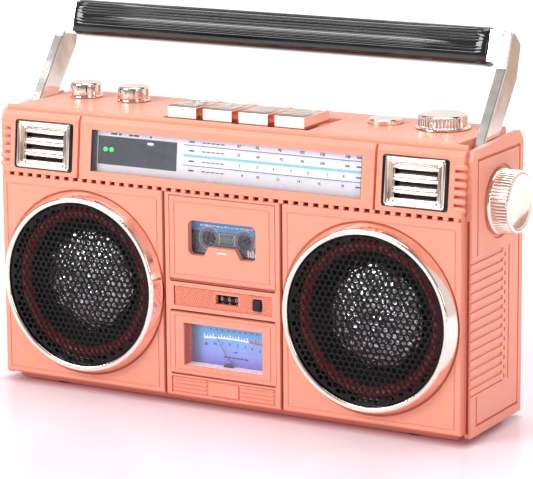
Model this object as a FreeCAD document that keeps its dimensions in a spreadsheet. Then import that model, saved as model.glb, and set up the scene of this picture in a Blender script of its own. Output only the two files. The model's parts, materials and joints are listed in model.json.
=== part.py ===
import FreeCAD, Part
import Sketcher
import os
import re

# A small retro radio cassette recorder, in millimetres.
# +Z is up and -Y is the front.  The origin is on the surface that the rubber feet stand on, half way
# across the cabinet and about half way through its depth.

V = FreeCAD.Vector

# Driving dimensions.  Words ending in _y, _x, _z, _low, _high and _top are places; the rest are sizes.
DIMS = {
    # cabinet
    "front_width": 226, "cheek_width": 231.4, "front_y": -27.2, "cheek_front_y": -22.8, "back_y": 27.3,
    "cabinet_low": 4.2, "wall": 3, "thin_wall": 1.5, "edge_break": 0.8, "gap": 0.3, "side_wall": 2.5,
    "groove_low": 94.6, "groove_high": 96.3, "groove_floor_y": -25.4, "tooth": 2.2, "tooth_pitch": 4.8,
    "tooth_top_y": -26.8, "band_foot_y": -27.1, "band_head_y": -24.5, "band_high": 121.3, "band_lean": 5.9,
    "shoulder_y": -22.9, "shoulder_top": 123.3, "deck_front_y": -21.9, "deck_low": 121.5,
    "deck_top": 125.5, "deck_edge": 107.5, "slot_front_y": -20.4, "slot_floor": 107, "slot_wall": 2,
    # grooves that draw the panels on the front
    "column": 28.3, "line": 1.5, "line_depth": 2, "panel_top": 93.6, "fine_line": 0.6,
    "fine_depth": 0.24, "bevel_inset": 2.2,
    # base
    "skirt_long": 109, "skirt_deep": 23.5, "skirt_high": 3.4, "skirt_flare": 2.5,
    "foot_radius": 6.5, "foot_x": 88, "foot_y": 14,
    # speakers
    "speaker_x": 70.87, "speaker_z": 49.47, "ring_outer": 41.1, "ring_lip_outer": 38.8,
    "ring_inner": 36.6, "ring_seat_y": -26.0, "ring_front_y": -32.2, "dish_radius": 41.8,
    "speaker_hole": 35.2, "grille_seat": 39, "grille_skin": 0.8, "grille_edge": 36.3,
    "grille_edge_y": -29.8, "grille_middle_y": -31.2, "basket_radius": 38, "basket_flange": 1.5,
    "basket_neck": 20, "basket_deep": 18, "magnet_deep": 12, "basket_skin": 1.2, "cone_edge": 33.6,
    "roll_inner": 28.6, "roll_rise": 0.9, "cap_radius": 10.5, "cone_deep": 11.5, "cone_skin": 0.8,
    "cap_rise": 3.4,
    # vents in the upper band, measured up the leaning face from its foot
    "vent_near": 76.5, "vent_far": 106.1, "vent_foot": 3.3, "vent_head": 24, "vent_rim": 2.2,
    "vent_proud": 1.1, "vent_thick": 3.4, "vent_slot_near": 82.6, "vent_slot_far": 103,
    "vent_slot": 1.5, "vent_pitch": 5.1, "vent_first": 7.6, "band_line_x": 72.9, "rib_start": 109,
    "rib_foot": 5.4, "rib_pitch": 3.5, "rib_gap": 1.2,
    # dial
    "dial_half": 66.5, "dial_foot": 4.6, "dial_head": 22.9, "dial_plate_back": 4.2, "dial_skin": 0.9,
    "window_front": 0.7, "pointer_width": 0.6, "pointer_start": 65.7, "light_radius": 0.9,
    "light_z": 14.6, "pointer_gap": 0.25,
    # cassette door
    "door_half": 26, "door_low": 56.3, "door_high": 93.2, "door_hinge_y": -26, "door_hinge_z": 57.4,
    "door_play": 0.3, "door_pin": 0.7, "window_half": 16.7, "window_low": 67.9, "window_high": 83.2,
    "window_corner": 2.5, "tab_foot_half": 9, "tab_top": 72.2,
    "holder_half": 25.7, "holder_skin": 0.8, "holder_back_y": -13.7, "holder_top": 90.2,
    "cassette_half": 24.5, "cassette_low": 58.7, "cassette_high": 89.7, "cassette_front_y": -22.6,
    "cassette_deep": 8, "reel_x": 8.8, "reel_z": 75, "hub_bore": 2.7, "hub_tooth": 0.8,
    "hub_port": 3.4, "tape_thick": 3.8, "supply_pack": 8.6, "take_up_pack": 6.2, "shell_skin": 1.2,
    # tape mechanism
    "chassis_y": -12, "chassis_skin": 1.5, "chassis_half": 28, "chassis_low": 49, "chassis_high": 93,
    "spindle_radius": 1.4, "spindle_tip_y": -16, "spindle_flange": 3, "capstan_x": 14,
    "capstan_z": 61.5, "capstan_radius": 0.8, "capstan_port": 1.6, "flywheel_radius": 11,
    "flywheel_y": -9.5, "flywheel_thick": 3, "motor_x": -16, "motor_z": 66, "motor_radius": 9,
    "motor_long": 14, "pulley_radius": 2.6, "belt_skin": 0.8, "belt_groove": 0.8, "roller_radius": 2.6,
    "roller_z": 57.7, "roller_pin": 0.7, "head_half": 5, "head_low": 54.2, "head_high": 58.2,
    "bearing_play": 0.05,
    # tape counter and its reset button
    "counter_low": 43, "counter_high": 55.2, "counter_recess_half": 24.4, "counter_recess_low": 44.9,
    "counter_recess_high": 53.4, "counter_x": -3.8, "counter_long": 11.4, "counter_window_low": 47.2,
    "counter_window_high": 51.6, "counter_wheel_radius": 4.2, "counter_wheel_y": -20.2,
    "counter_axle": 0.8, "reset_x": 15.3, "reset_long": 3.6, "reset_low": 46.7, "reset_high": 51.3,
    "reset_proud": 0.6, "reset_deep": 6,
    # meter
    "meter_half": 26.3, "meter_low": 14.8, "meter_high": 41.8, "meter_open_half": 19.6,
    "meter_open_low": 18.5, "meter_open_high": 37.4, "meter_skin": 1.4, "meter_floor_y": -20.2,
    "needle_y": -21.4, "needle_z": 20.6, "needle_long": 13.6, "needle_wide": 0.5,
    "needle_hub": 1.7, "needle_pin": 0.6, "needle_turn": 32,
    # blank bottom panel
    "badge_low": 5.6, "badge_high": 13, "badge_half": 7.4, "badge_recess": 0.7, "strip": 0.8,
    "strip_pitch": 1.8, "badge_line": 1,
    # keys
    "key_first_x": -31, "key_pitch": 17.6, "key_width": 14.2, "key_front_y": -19, "key_back_y": 3.1,
    "key_rise": 5.4, "key_back_rise": 5.2, "key_soft": 0.7, "key_rib": 0.5, "key_rib_pitch": 1.1,
    "key_lever": 4, "key_shaft_y": 1.1, "key_shaft_z": 119.4, "key_shaft_radius": 1,
    "well_left": -33.4, "well_right": 38.4, "well_back_y": 10.6, "well_floor": 123.2,
    # deck controls
    "control_y": 11, "volume_x": 86, "volume_radius": 10.6, "volume_dish": 11.7,
    "volume_rise": 6.2, "tone_x": -67.2, "band_x": -92.5, "small_radius": 7.2, "small_flange": 7.5,
    "small_rise": 6.8, "power_x": 58.8, "power_radius": 7.3, "power_rise": 2.2, "power_travel": 1.4,
    "stem": 2, "stem_long": 8, "flute": 0.5,
    # tuning knob on the right side
    "tuning_y": 4.6, "tuning_z": 98.3, "tuning_base": 14, "tuning_face": 12.9, "tuning_out": 9.2,
    "tuning_dish": 15.6, "tuning_dish_deep": 0.9, "tuning_stem": 2.5, "tuning_stem_long": 12,
    # cheeks
    "cheek_low": 2.6, "cheek_front_top": 123.2, "cheek_back_top": 125, "cheek_soft": 4, "frame_back_y": 24,
    "frame_front_y": -17.7, "frame_low": 6.4, "frame_high": 119.5, "vent_panel_front_y": -22.8,
    "vent_panel_back_y": 13.2, "vent_panel_low": 20.3, "vent_panel_high": 78, "vent_rib_pitch": 4.05,
    "vent_rib": 2.4, "vent_rib_deep": 0.6, "vent_rib_end_y": 7.8, "peephole_long": 1.2,
    "peephole_high": 1.8, "peephole_y": 9.2, "cheek_line": 1.1, "cheek_line_deep": 1.2,
    # handle
    "pivot_y": -3.9, "pivot_z": 115.3, "pivot_radius": 1.5, "arm_in": 107.8, "arm_out": 112.5,
    "arm_boss": 5.5, "arm_knee_front_y": 16, "arm_knee_front_z": 151.7, "arm_top_front_y": 21.3,
    "arm_top_front_z": 166, "arm_top_back_y": 30.8, "arm_top_back_z": 160,
    "arm_knee_back_y": 27, "arm_knee_back_z": 145.6, "arm_foot_front_y": -8.4,
    "arm_foot_front_z": 118.6, "arm_foot_back_y": 0.6, "arm_foot_back_z": 112, "arm_soft": 0.7,
    "grip_end": 103, "grip_y": 23.4, "grip_z": 159, "grip_deep": 12.5, "grip_high": 16.5,
    "grip_soft": 4, "grip_tilt": 18, "pin_reach": 1.2, "stub_deep": 10, "stub_high": 13.5,
    # back
    "battery_half": 55, "battery_low": 10.3, "battery_high": 45.7, "battery_skin": 2.3,
    "battery_hinge_z": 11.4, "battery_play": 0.4, "battery_tray_y": 7.6, "cell_radius": 7.1,
    "cell_long": 50, "cell_y": 15.4, "cell_z": 18.2, "cell_pitch": 16, "screw_head": 3,
    "screw_shank": 1.4, "screw_long": 8, "screw_x": 100, "screw_low_z": 12, "screw_high_z": 100,
    "board_left": 60, "board_long": 44, "board_low": 12, "board_high": 92, "board_y": 13.5,
    "board_skin": 1.6, "jack_x": 84, "jack_z": 26, "jack_size": 8, "jack_bore": 2.8, "rear_slot_low": 56,
    "rear_slot_near": 40, "rear_slot_far": 95,
}

doc = FreeCAD.newDocument("CassettePlayer")
sheet = doc.addObject("Spreadsheet::Sheet", "Dims")
for row, (alias, value) in enumerate(DIMS.items(), start=1):
    sheet.set("A%d" % row, alias)
    sheet.set("B%d" % row, str(value))
    sheet.setAlias("B%d" % row, alias)
doc.recompute()

WORD = re.compile(r"[a-z][a-z_]*")
ALONG = {
    "z": FreeCAD.Rotation(),
    "y": FreeCAD.Rotation(V(1, 0, 0), -90),
    "x": FreeCAD.Rotation(V(0, 1, 0), 90),
}
SIDES = (("left", -1), ("right", 1))

KEYS = ("record_key", "play_key", "wind_key", "stop_key")
COUNTER_WHEELS = ("hundreds", "tens", "units")

# How many of each repeated detail there are.
BADGE_STRIPS = 4
CORNER_RIBS = 5
CHEEK_RIBS = 14
REAR_SLOTS = 7
VENT_SLOTS = 3
REEL_TEETH = 6
KEY_RIBS = 4
DOOR_GRIPS = 4
VOLUME_FLUTES = 40
TUNING_FLUTES = 48
nodes = []


def bound(text):
    """An expression in which each dimension's name points at its spreadsheet cell."""
    return WORD.sub(lambda found: "Dims." + found.group(0) if found.group(0) in DIMS else found.group(0),
                    str(text))


def size(text):
    """The present value of an expression."""
    value = sheet.evalExpression(bound(text))
    return float(getattr(value, "Value", value))


def bind(item, **sizes):
    for name, text in sizes.items():
        item.setExpression(name, bound(text))
    return item


def place(item, at, turn=None):
    """Put an object at three expressions, after turning it about its own origin."""
    item.Placement = FreeCAD.Placement(V(), turn or FreeCAD.Rotation())
    for axis, text in zip("xyz", at):
        item.setExpression(".Placement.Base." + axis, bound(text))
    return item


def node(label, item):
    """Keep a finished piece under its name."""
    item.Label = label
    nodes.append(item)
    return item


def box(low, high):
    """A block between two corners."""
    item = doc.addObject("Part::Box", "Block")
    spans = ["(%s) - (%s)" % (end, start) for start, end in zip(low, high)]
    bind(item, Length=spans[0], Width=spans[1], Height=spans[2])
    return place(item, low)


def side_box(side, near, far, low, high):
    """A block between two distances from the middle plane; low and high are (y, z)."""
    left, right = (near, far) if side > 0 else ("-(%s)" % far, "-(%s)" % near)
    return box((left, low[0], low[1]), (right, high[0], high[1]))


def rod(start, radius, length, along):
    item = doc.addObject("Part::Cylinder", "Rod")
    bind(item, Radius=radius, Height=length)
    return place(item, start, ALONG[along])


def taper(start, first, last, length, along):
    item = doc.addObject("Part::Cone", "Taper")
    bind(item, Radius1=first, Radius2=last, Height=length)
    return place(item, start, ALONG[along])


def joined(*items):
    item = doc.addObject("Part::MultiFuse", "Joined")
    item.Shapes = list(items)
    return item


def group(items):
    """Separate pieces kept together."""
    item = doc.addObject("Part::Compound", "Group")
    item.Links = list(items)
    return item


def less(base, *tools):
    item = doc.addObject("Part::Cut", "Less")
    item.Base = base
    item.Tool = tools[0] if len(tools) == 1 else joined(*tools)
    return item


def leaning(item):
    """Lay a piece that was drawn upright at the front's foot onto the leaning upper band."""
    return place(group([item]), ("0", "front_y", "groove_high - 0.9"),
                 FreeCAD.Rotation(V(1, 0, 0), -DIMS["band_lean"]))


def body_plane(body, role):
    return [plane for plane in body.Origin.OriginFeatures if plane.Role == role][0]


def outline(body, role, points):
    """A closed sketch on one of the body's own planes, each corner held by two named distances."""
    sketch = body.newObject("Sketcher::SketchObject", "Outline")
    sketch.AttachmentSupport = [(body_plane(body, role), "")]
    sketch.MapMode = "FlatFace"
    spots = [V(size(across), size(up), 0) for across, up in points]
    count = len(spots)
    for index, spot in enumerate(spots):
        sketch.addGeometry(Part.LineSegment(spot, spots[(index + 1) % count]), False)
    for index in range(count):
        sketch.addConstraint(Sketcher.Constraint("Coincident", index, 2, (index + 1) % count, 1))
    for index, (corner, spot) in enumerate(zip(points, spots)):
        for kind, text, value, axis in (("DistanceX", corner[0], spot.x, -2),
                                        ("DistanceY", corner[1], spot.y, -1)):
            if abs(value) < 1e-9:
                sketch.addConstraint(Sketcher.Constraint("PointOnObject", index, 1, axis))
                continue
            held = sketch.addConstraint(Sketcher.Constraint(kind, -1, 1, index, 1, value))
            name = "%s%d" % ("across" if kind == "DistanceX" else "up", index)
            sketch.renameConstraint(held, name)
            sketch.setExpression("Constraints." + name, bound(text))
    return sketch


def turned(points, at, along):
    """A turned piece: (radius, distance along the axis) corners, swept round the axis."""
    body = doc.addObject("PartDesign::Body", "Turned")
    sketch = outline(body, "XZ_Plane", points)
    spin = body.newObject("PartDesign::Revolution", "Spin")
    spin.Profile = sketch
    spin.ReferenceAxis = (sketch, ["V_Axis"])
    spin.Angle = 360
    body.Tip = spin
    return place(body, at, ALONG[along])


def extruded(points, start, length):
    """A piece with one outline, (y, z) corners, carried along X."""
    body = doc.addObject("PartDesign::Body", "Extruded")
    sketch = outline(body, "YZ_Plane", points)
    pad = body.newObject("PartDesign::Pad", "Pad")
    pad.Profile = sketch
    pad.setExpression("Length", bound(length))
    body.Tip = pad
    return place(body, (start, "0", "0"))


def softened(body, radius, wanted):
    """Round the edges of a body that the test picks."""
    doc.recompute()
    last = body.Tip
    names = ["Edge%d" % number for number, edge in enumerate(last.Shape.Edges, start=1) if wanted(edge)]
    soft = body.newObject("PartDesign::Fillet", "Soft")
    soft.Base = (last, names)
    soft.setExpression("Radius", bound(radius))
    body.Tip = soft
    return body


def runs_along(edge, axis):
    """True for a straight edge along the axis."""
    if edge.Curve.TypeId != "Part::GeomLine":
        return False
    return abs(abs(getattr(edge.tangentAt(edge.FirstParameter), axis)) - 1) < 1e-6


def frame_groove(side, near, far, low, high):
    """A fine groove drawn round a panel on the front."""
    deep = "front_y + fine_depth"
    outer = side_box(side, near, far, ("front_y - 1", low), (deep, high))
    inner = side_box(side, "(%s) + fine_line" % near, "(%s) - fine_line" % far,
                     ("front_y - 2", "(%s) + fine_line" % low), ("back_y", "(%s) - fine_line" % high))
    return less(outer, inner)


# ---------------------------------------------------------------- cabinet

def front_cabinet():
    """The front moulding: speaker panels, centre column and the leaning band with the dial."""
    shell = extruded([
        ("front_y + edge_break", "cabinet_low"), ("front_y", "cabinet_low + edge_break"),
        ("front_y", "groove_low"), ("groove_floor_y", "groove_low"), ("groove_floor_y", "groove_high"),
        ("band_foot_y", "groove_high"), ("band_head_y", "band_high"), ("shoulder_y", "shoulder_top"),
        ("deck_front_y", "shoulder_top"), ("deck_front_y", "deck_low"),
        ("front_y + wall", "groove_low"), ("front_y + wall", "cabinet_low"),
    ], "-front_width/2", "front_width")
    added = [side_box(side, "front_width/2 - side_wall", "front_width/2",
                      ("front_y + wall/2", "cabinet_low"), ("cheek_front_y", "groove_high"))
             for name, side in SIDES]
    teeth = int(DIMS["front_width"] / 2 / DIMS["tooth_pitch"])
    for number in range(-teeth, teeth + 1):
        middle = "%d*tooth_pitch" % number
        added.append(box((middle + " - tooth/2", "tooth_top_y", "groove_low"),
                         (middle + " + tooth/2", "groove_floor_y + 0.1", "groove_high")))
    cut_shell = less(joined(shell, *added), *(panel_lines() + front_openings() + band_cuts()))
    return joined(cut_shell, counter_axle())


def panel_lines():
    """Grooves between the speaker panels, the centre column's panels and the upper band."""
    floor = "front_y + line_depth"
    cuts = []
    for name, side in SIDES:
        cuts.append(side_box(side, "column", "column + line", ("front_y - 1", "cabinet_low - 1"),
                             (floor, "groove_low")))
        cuts.append(frame_groove(side, "column + line + bevel_inset", "front_width/2 - bevel_inset",
                                 "cabinet_low + bevel_inset", "panel_top - bevel_inset"))
        dish = taper(("%d*speaker_x" % side, "front_y - 0.01", "speaker_z"), "dish_radius",
                     "ring_outer + 0.1",
                     "ring_seat_y - front_y + 0.01", "y")
        cuts.append(dish)
        cuts.append(rod(("%d*speaker_x" % side, "front_y - 1", "speaker_z"), "speaker_hole", "wall + 2",
                        "y"))
    for low, high in (("badge_high + strip", "meter_low - gap"), ("meter_high + gap", "counter_low")):
        cuts.append(box(("-door_half", "front_y - 1", low), ("door_half", floor, high)))
    return cuts


def front_openings():
    """Openings for the door, counter, reset button and meter, and the blank panel's recess."""
    through = "front_y + wall + 1"
    cuts = [
        box(("-door_half - door_play", "front_y - 1", "counter_high + strip"),
            ("door_half + door_play", through, "door_high + door_play")),
        rod(("-door_half - pin_reach - gap", "door_hinge_y", "door_hinge_z"), "door_pin + bearing_play",
            "2*(door_half + pin_reach + gap)", "x"),
        box(("-counter_recess_half", "front_y - 1", "counter_recess_low"),
            ("counter_recess_half", "front_y + badge_recess", "counter_recess_high")),
        box(("counter_x", "front_y - 1", "counter_window_low"),
            ("counter_x + counter_long", through, "counter_window_high")),
        box(("reset_x - gap", "front_y - 1", "reset_low - gap"),
            ("reset_x + reset_long + gap", through, "reset_high + gap")),
        box(("-meter_half - gap/2", "front_y - 1", "meter_low - gap/2"),
            ("meter_half + gap/2", "front_y + meter_skin", "meter_high + gap/2")),
        box(("-meter_open_half - meter_skin - gap/2", "front_y - 1", "meter_open_low - meter_skin - gap/2"),
            ("meter_open_half + meter_skin + gap/2", through, "meter_open_high + meter_skin + gap/2")),
    ]
    recess = box(("-door_half", "front_y - 1", "badge_low"),
                 ("door_half", "front_y + badge_recess", "badge_high"))
    kept = [box(("-badge_half", "front_y - 2", "badge_low + strip"),
                ("badge_half", "back_y", "badge_high - strip"))]
    for name, side in SIDES:
        for number in range(BADGE_STRIPS):
            low = "badge_low + strip + %d*strip_pitch" % number
            kept.append(side_box(side, "badge_half + badge_line", "door_half - badge_line",
                                 ("front_y + fine_depth/2", low), ("back_y", low + " + strip")))
    cuts.append(less(recess, *kept))
    return cuts


def band_cuts():
    """The dial and vent openings, the upright lines and the corner ribs of the upper band."""
    cuts = [box(("-dial_half", "-5", "dial_foot"), ("dial_half", "wall + 5", "dial_head"))]
    for name, side in SIDES:
        cuts.append(side_box(side, "vent_near", "vent_far", ("-5", "vent_foot"), ("wall + 5", "vent_head")))
        cuts.append(side_box(side, "band_line_x - fine_line", "band_line_x + fine_line", ("-5", "0.9"),
                             ("line_depth", "40")))
        for number in range(CORNER_RIBS):
            low = "rib_foot + %d*rib_pitch" % number
            cuts.append(side_box(side, "rib_start", "front_width/2 + 1", ("-5", low),
                                 ("line_depth", low + " + rib_gap")))
    return [leaning(joined(*cuts))]


def top_deck():
    """The top plate: a well for the keys, a slot at each end for the handle, lugs for the key shaft."""
    plate = box(("-front_width/2", "deck_front_y", "deck_low"), ("front_width/2", "back_y", "deck_top"))
    lugs = [box((start, "key_back_y - 5", "key_shaft_z - 2*key_shaft_radius"),
                (end, "key_back_y + 1", "deck_low"))
            for start, end in (("well_left - side_wall", "well_left"),
                               ("well_right", "well_right + side_wall"))]
    cuts = [box(("well_left", "slot_front_y", "well_floor"), ("well_right", "well_back_y", "deck_top + 1"))]
    for name, side in SIDES:
        cuts.append(side_box(side, "deck_edge", "front_width/2 + 1", ("slot_front_y", "deck_low - 1"),
                             ("back_y + 1", "deck_top + 1")))
    for number in range(len(KEYS)):
        middle = "key_first_x + key_width/2 + %d*key_pitch" % number
        cuts.append(box((middle + " - key_lever/2 - gap", "key_shaft_y - 3.6", "deck_low - 1"),
                        (middle + " + key_lever/2 + gap", "key_shaft_y + 2.8", "deck_top")))
    cuts.append(rod(("well_left - side_wall - 1", "key_shaft_y", "key_shaft_z"), "key_shaft_radius",
                    "well_right - well_left + 2*side_wall + 2", "x"))
    for middle in ("volume_x", "tone_x", "band_x", "power_x"):
        cuts.append(rod((middle, "control_y", "deck_low - 1"), "stem + bearing_play", "10", "z"))
    cuts.append(rod(("power_x", "control_y", "deck_top - power_travel"), "power_radius + gap", "5", "z"))
    deck = less(joined(plate, *lugs), *cuts)
    doc.recompute()
    soft = doc.addObject("Part::Chamfer", "Soft")
    soft.Base = deck
    top = [number for number, edge in enumerate(deck.Shape.Edges, start=1)
           if runs_along(edge, "x") and edge.Length > 200 and edge.BoundBox.ZMin > DIMS["deck_top"] - 0.1]
    soft.Edges = [(number, DIMS["edge_break"], DIMS["edge_break"]) for number in top]
    return soft


def cheek(side):
    """A side cover: a thin plate with a raised rim and a panel of ribs."""
    body = extruded([
        ("cheek_front_y", "cheek_low"), ("cheek_front_y", "cheek_front_top - cheek_soft"),
        ("cheek_front_y + cheek_soft/2", "cheek_front_top"), ("back_y - cheek_soft", "cheek_back_top"),
        ("back_y", "cheek_back_top - cheek_soft"), ("back_y", "cheek_low"),
    ], "front_width/2" if side > 0 else "-cheek_width/2", "(cheek_width - front_width)/2")
    outer = "cheek_width/2"
    above = outer + " + 1"
    seam = outer + " - cheek_line_deep"
    frame = less(side_box(side, seam, above, ("frame_front_y", "frame_low"),
                          ("frame_back_y", "frame_high")),
                 side_box(side, outer + " - 2", outer + " + 2",
                          ("frame_front_y + cheek_line", "frame_low + cheek_line"),
                          ("frame_back_y - cheek_line", "frame_high - cheek_line")),
                 side_box(side, outer + " - 2", outer + " + 2",
                          ("frame_front_y - cheek_line", "vent_panel_low - cheek_line"),
                          ("vent_panel_back_y", "vent_panel_high + cheek_line")))
    border = side_box(side, seam, above, ("vent_panel_back_y", "vent_panel_low"),
                      ("vent_panel_back_y + cheek_line", "vent_panel_high"))
    recess = side_box(side, outer + " - vent_rib_deep", above, ("vent_panel_front_y - 1", "vent_panel_low"),
                      ("vent_rib_end_y", "vent_panel_high"))
    ribs = []
    peepholes = []
    for number in range(CHEEK_RIBS):
        low = "vent_panel_low + (vent_rib_pitch - vent_rib)/2 + %d*vent_rib_pitch" % number
        ribs.append(side_box(side, outer + " - 2", outer + " + 2", ("vent_panel_front_y - 2", low),
                             ("vent_rib_end_y + 1", low + " + vent_rib")))
        peepholes.append(side_box(side, seam, above, ("peephole_y", low),
                                  ("peephole_y + peephole_long", low + " + peephole_high")))
    cuts = [frame, border, less(recess, group(ribs)), group(peepholes)]
    if side > 0:
        cuts.append(rod((outer + " - tuning_dish_deep", "tuning_y", "tuning_z"), "tuning_dish", "5", "x"))
        cuts.append(rod(("front_width/2 - 1", "tuning_y", "tuning_z"), "tuning_stem + bearing_play", "5",
                        "x"))
    return less(body, *cuts)


def rear_cover():
    """The rear shell: back, bottom, inner side walls, handle wells and battery tray."""
    inner_y = "back_y - wall"
    solids = [
        box(("-front_width/2", inner_y, "cabinet_low"), ("front_width/2", "back_y", "deck_low")),
        box(("-front_width/2 + side_wall", "cheek_front_y", "cabinet_low"),
            ("front_width/2 - side_wall", inner_y, "cabinet_low + side_wall")),
        box(("-battery_half - thin_wall", "battery_tray_y - thin_wall", "battery_low - 2.3"),
            ("battery_half + thin_wall", inner_y, "battery_high + 2.3")),
    ]
    cuts = [
        box(("-battery_half", "battery_tray_y", "battery_low - 0.7"),
            ("battery_half", "back_y + 1", "battery_high + battery_play")),
        rod(("-battery_half - thin_wall", "back_y - battery_skin/2", "battery_hinge_z"),
            "door_pin + bearing_play",
            "2*(battery_half + thin_wall)", "x"),
        rod(("jack_x", "back_y - 5", "jack_z"), "jack_bore + gap", "10", "y"),
    ]
    for name, side in SIDES:
        solids.append(side_box(side, "front_width/2 - side_wall", "front_width/2",
                               ("cheek_front_y", "cabinet_low"),
                               (inner_y, "slot_floor")))
        solids.append(side_box(side, "deck_edge - slot_wall", "front_width/2",
                               ("slot_front_y", "slot_floor - slot_wall"),
                               (inner_y, "slot_floor")))
        solids.append(side_box(side, "deck_edge - slot_wall", "deck_edge",
                               ("slot_front_y", "slot_floor - slot_wall"),
                               (inner_y, "deck_low")))
        start = "deck_edge - 0.5" if side > 0 else "-front_width/2 + 0.1"
        solids.append(rod((start, "pivot_y", "pivot_z"), "pivot_radius", "front_width/2 - deck_edge + 0.4",
                          "x"))
        cuts.append(side_box(side, "deck_edge", "front_width/2 + 1", (inner_y + " - 1", "slot_floor"),
                             ("back_y + 1", "deck_low + 1")))
        for number in range(REAR_SLOTS):
            low = "rear_slot_low + %d*vent_rib_pitch" % number
            cuts.append(side_box(side, "rear_slot_near", "rear_slot_far", (inner_y + " - 1", low),
                                 ("back_y + 1", low + " + vent_rib")))
        for height in ("screw_low_z", "screw_high_z"):
            spot = ("%d*screw_x" % side, "back_y - line", height)
            cuts.append(rod(spot, "screw_head + gap", "5", "y"))
            cuts.append(rod((spot[0], inner_y + " - 1", height), "screw_shank", "5", "y"))
    cuts.append(rod(("front_width/2 - side_wall - 1", "tuning_y", "tuning_z"),
                    "tuning_stem + bearing_play", "5", "x"))
    return less(joined(*solids), *cuts)


def base_plinth():
    """The flared skirt under the cabinet."""
    top = "cabinet_low"
    low = "cabinet_low - skirt_high"
    body = extruded([
        ("-skirt_deep", top), ("-skirt_deep + skirt_flare", low), ("skirt_deep - skirt_flare", low),
        ("skirt_deep", top),
    ], "-skirt_long", "2*skirt_long")
    inside = box(("-skirt_long + side_wall", "-skirt_deep + skirt_flare + side_wall", low + " + thin_wall"),
                 ("skirt_long - side_wall", "skirt_deep - skirt_flare - side_wall", "cabinet_low + 1"))
    return less(body, inside)


def rubber_feet():
    """Four round feet under the skirt."""
    feet = []
    for name, side in SIDES:
        for depth in ("-foot_y", "foot_y"):
            feet.append(taper(("%d*foot_x" % side, depth, "0"), "foot_radius - 0.5", "foot_radius",
                              "cabinet_low - skirt_high", "z"))
    return group(feet)


def case_screws():
    """Countersunk screws that hold the rear cover."""
    screws = []
    for name, side in SIDES:
        for height in ("screw_low_z", "screw_high_z"):
            spot = ("%d*screw_x" % side, "back_y - line", height)
            head = rod(spot, "screw_head", "line - gap", "y")
            shank = rod((spot[0], "back_y - line - screw_long", height), "screw_shank", "screw_long", "y")
            slot = box((spot[0] + " - 2", "back_y - line/2 - gap", height + " - 0.4"),
                       (spot[0] + " + 2", "back_y", height + " + 0.4"))
            screws.append(less(joined(head, shank), slot))
    return group(screws)


# ---------------------------------------------------------------- speakers

def speaker(side):
    """Ring, grille, basket with its magnet, and cone, each turned about the speaker's axis."""
    name = "right" if side > 0 else "left"
    middle = "%d*speaker_x" % side
    seat = (middle, "ring_seat_y", "speaker_z")
    node(name + "_speaker_ring", softened(turned([
        ("ring_outer", "0"), ("ring_outer", "front_y - ring_seat_y"),
        ("ring_lip_outer", "ring_front_y - ring_seat_y"), ("ring_inner", "ring_front_y - ring_seat_y"),
        ("ring_inner", "-1.2"), ("grille_seat + 0.1", "-1.2"), ("grille_seat + 0.1", "0"),
    ], seat, "y"), "edge_break", lambda edge: edge.BoundBox.ZMax < -5))
    back = "ring_seat_y"
    node(name + "_speaker_grille", turned([
        ("grille_seat", "0"), ("grille_seat", "-grille_skin"), ("grille_edge", "-grille_skin"),
        ("grille_edge", "grille_edge_y - (%s)" % back),
        ("grille_edge*0.8", "grille_edge_y*0.64 + grille_middle_y*0.36 - (%s)" % back),
        ("grille_edge*0.5", "grille_edge_y*0.25 + grille_middle_y*0.75 - (%s)" % back),
        ("0", "grille_middle_y - (%s)" % back), ("0", "grille_middle_y - (%s) + grille_skin" % back),
        ("grille_edge*0.5", "grille_edge_y*0.25 + grille_middle_y*0.75 - (%s) + grille_skin" % back),
        ("grille_edge*0.8 - 0.3", "grille_edge_y*0.64 + grille_middle_y*0.36 - (%s) + grille_skin" % back),
        ("grille_edge - grille_skin", "grille_edge_y - (%s) + grille_skin" % back),
        ("grille_edge - grille_skin", "0"),
    ], seat, "y"))
    mouth = (middle, "front_y + wall", "speaker_z")
    node(name + "_speaker_basket", turned([
        ("basket_radius", "0"), ("basket_radius", "basket_flange"),
        ("cone_edge + 2*basket_skin", "basket_flange"), ("basket_neck", "basket_deep"),
        ("basket_neck", "basket_deep + magnet_deep"), ("0", "basket_deep + magnet_deep"),
        ("0", "basket_deep - basket_skin"), ("basket_neck - basket_skin", "basket_deep - basket_skin"),
        ("cone_edge + basket_skin", "basket_flange"), ("cone_edge + basket_skin", "0"),
    ], mouth, "y"))
    node(name + "_speaker_cone", turned([
        ("cone_edge", "0.2"), ("roll_inner + (cone_edge - roll_inner)*0.75", "-roll_rise"),
        ("roll_inner + (cone_edge - roll_inner)*0.25", "-roll_rise"), ("roll_inner", "0.2"),
        ("cap_radius", "cone_deep"), ("cap_radius*0.7", "cone_deep - cap_rise*0.6"),
        ("0", "cone_deep - cap_rise"), ("0", "cone_deep - cap_rise + cone_skin"),
        ("cap_radius*0.66", "cone_deep - cap_rise*0.6 + cone_skin"),
        ("cap_radius", "cone_deep + 1.5*cone_skin"), ("roll_inner", "0.2 + 1.5*cone_skin"),
        ("cone_edge", "0.2 + cone_skin"),
    ], mouth, "y"))


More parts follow.
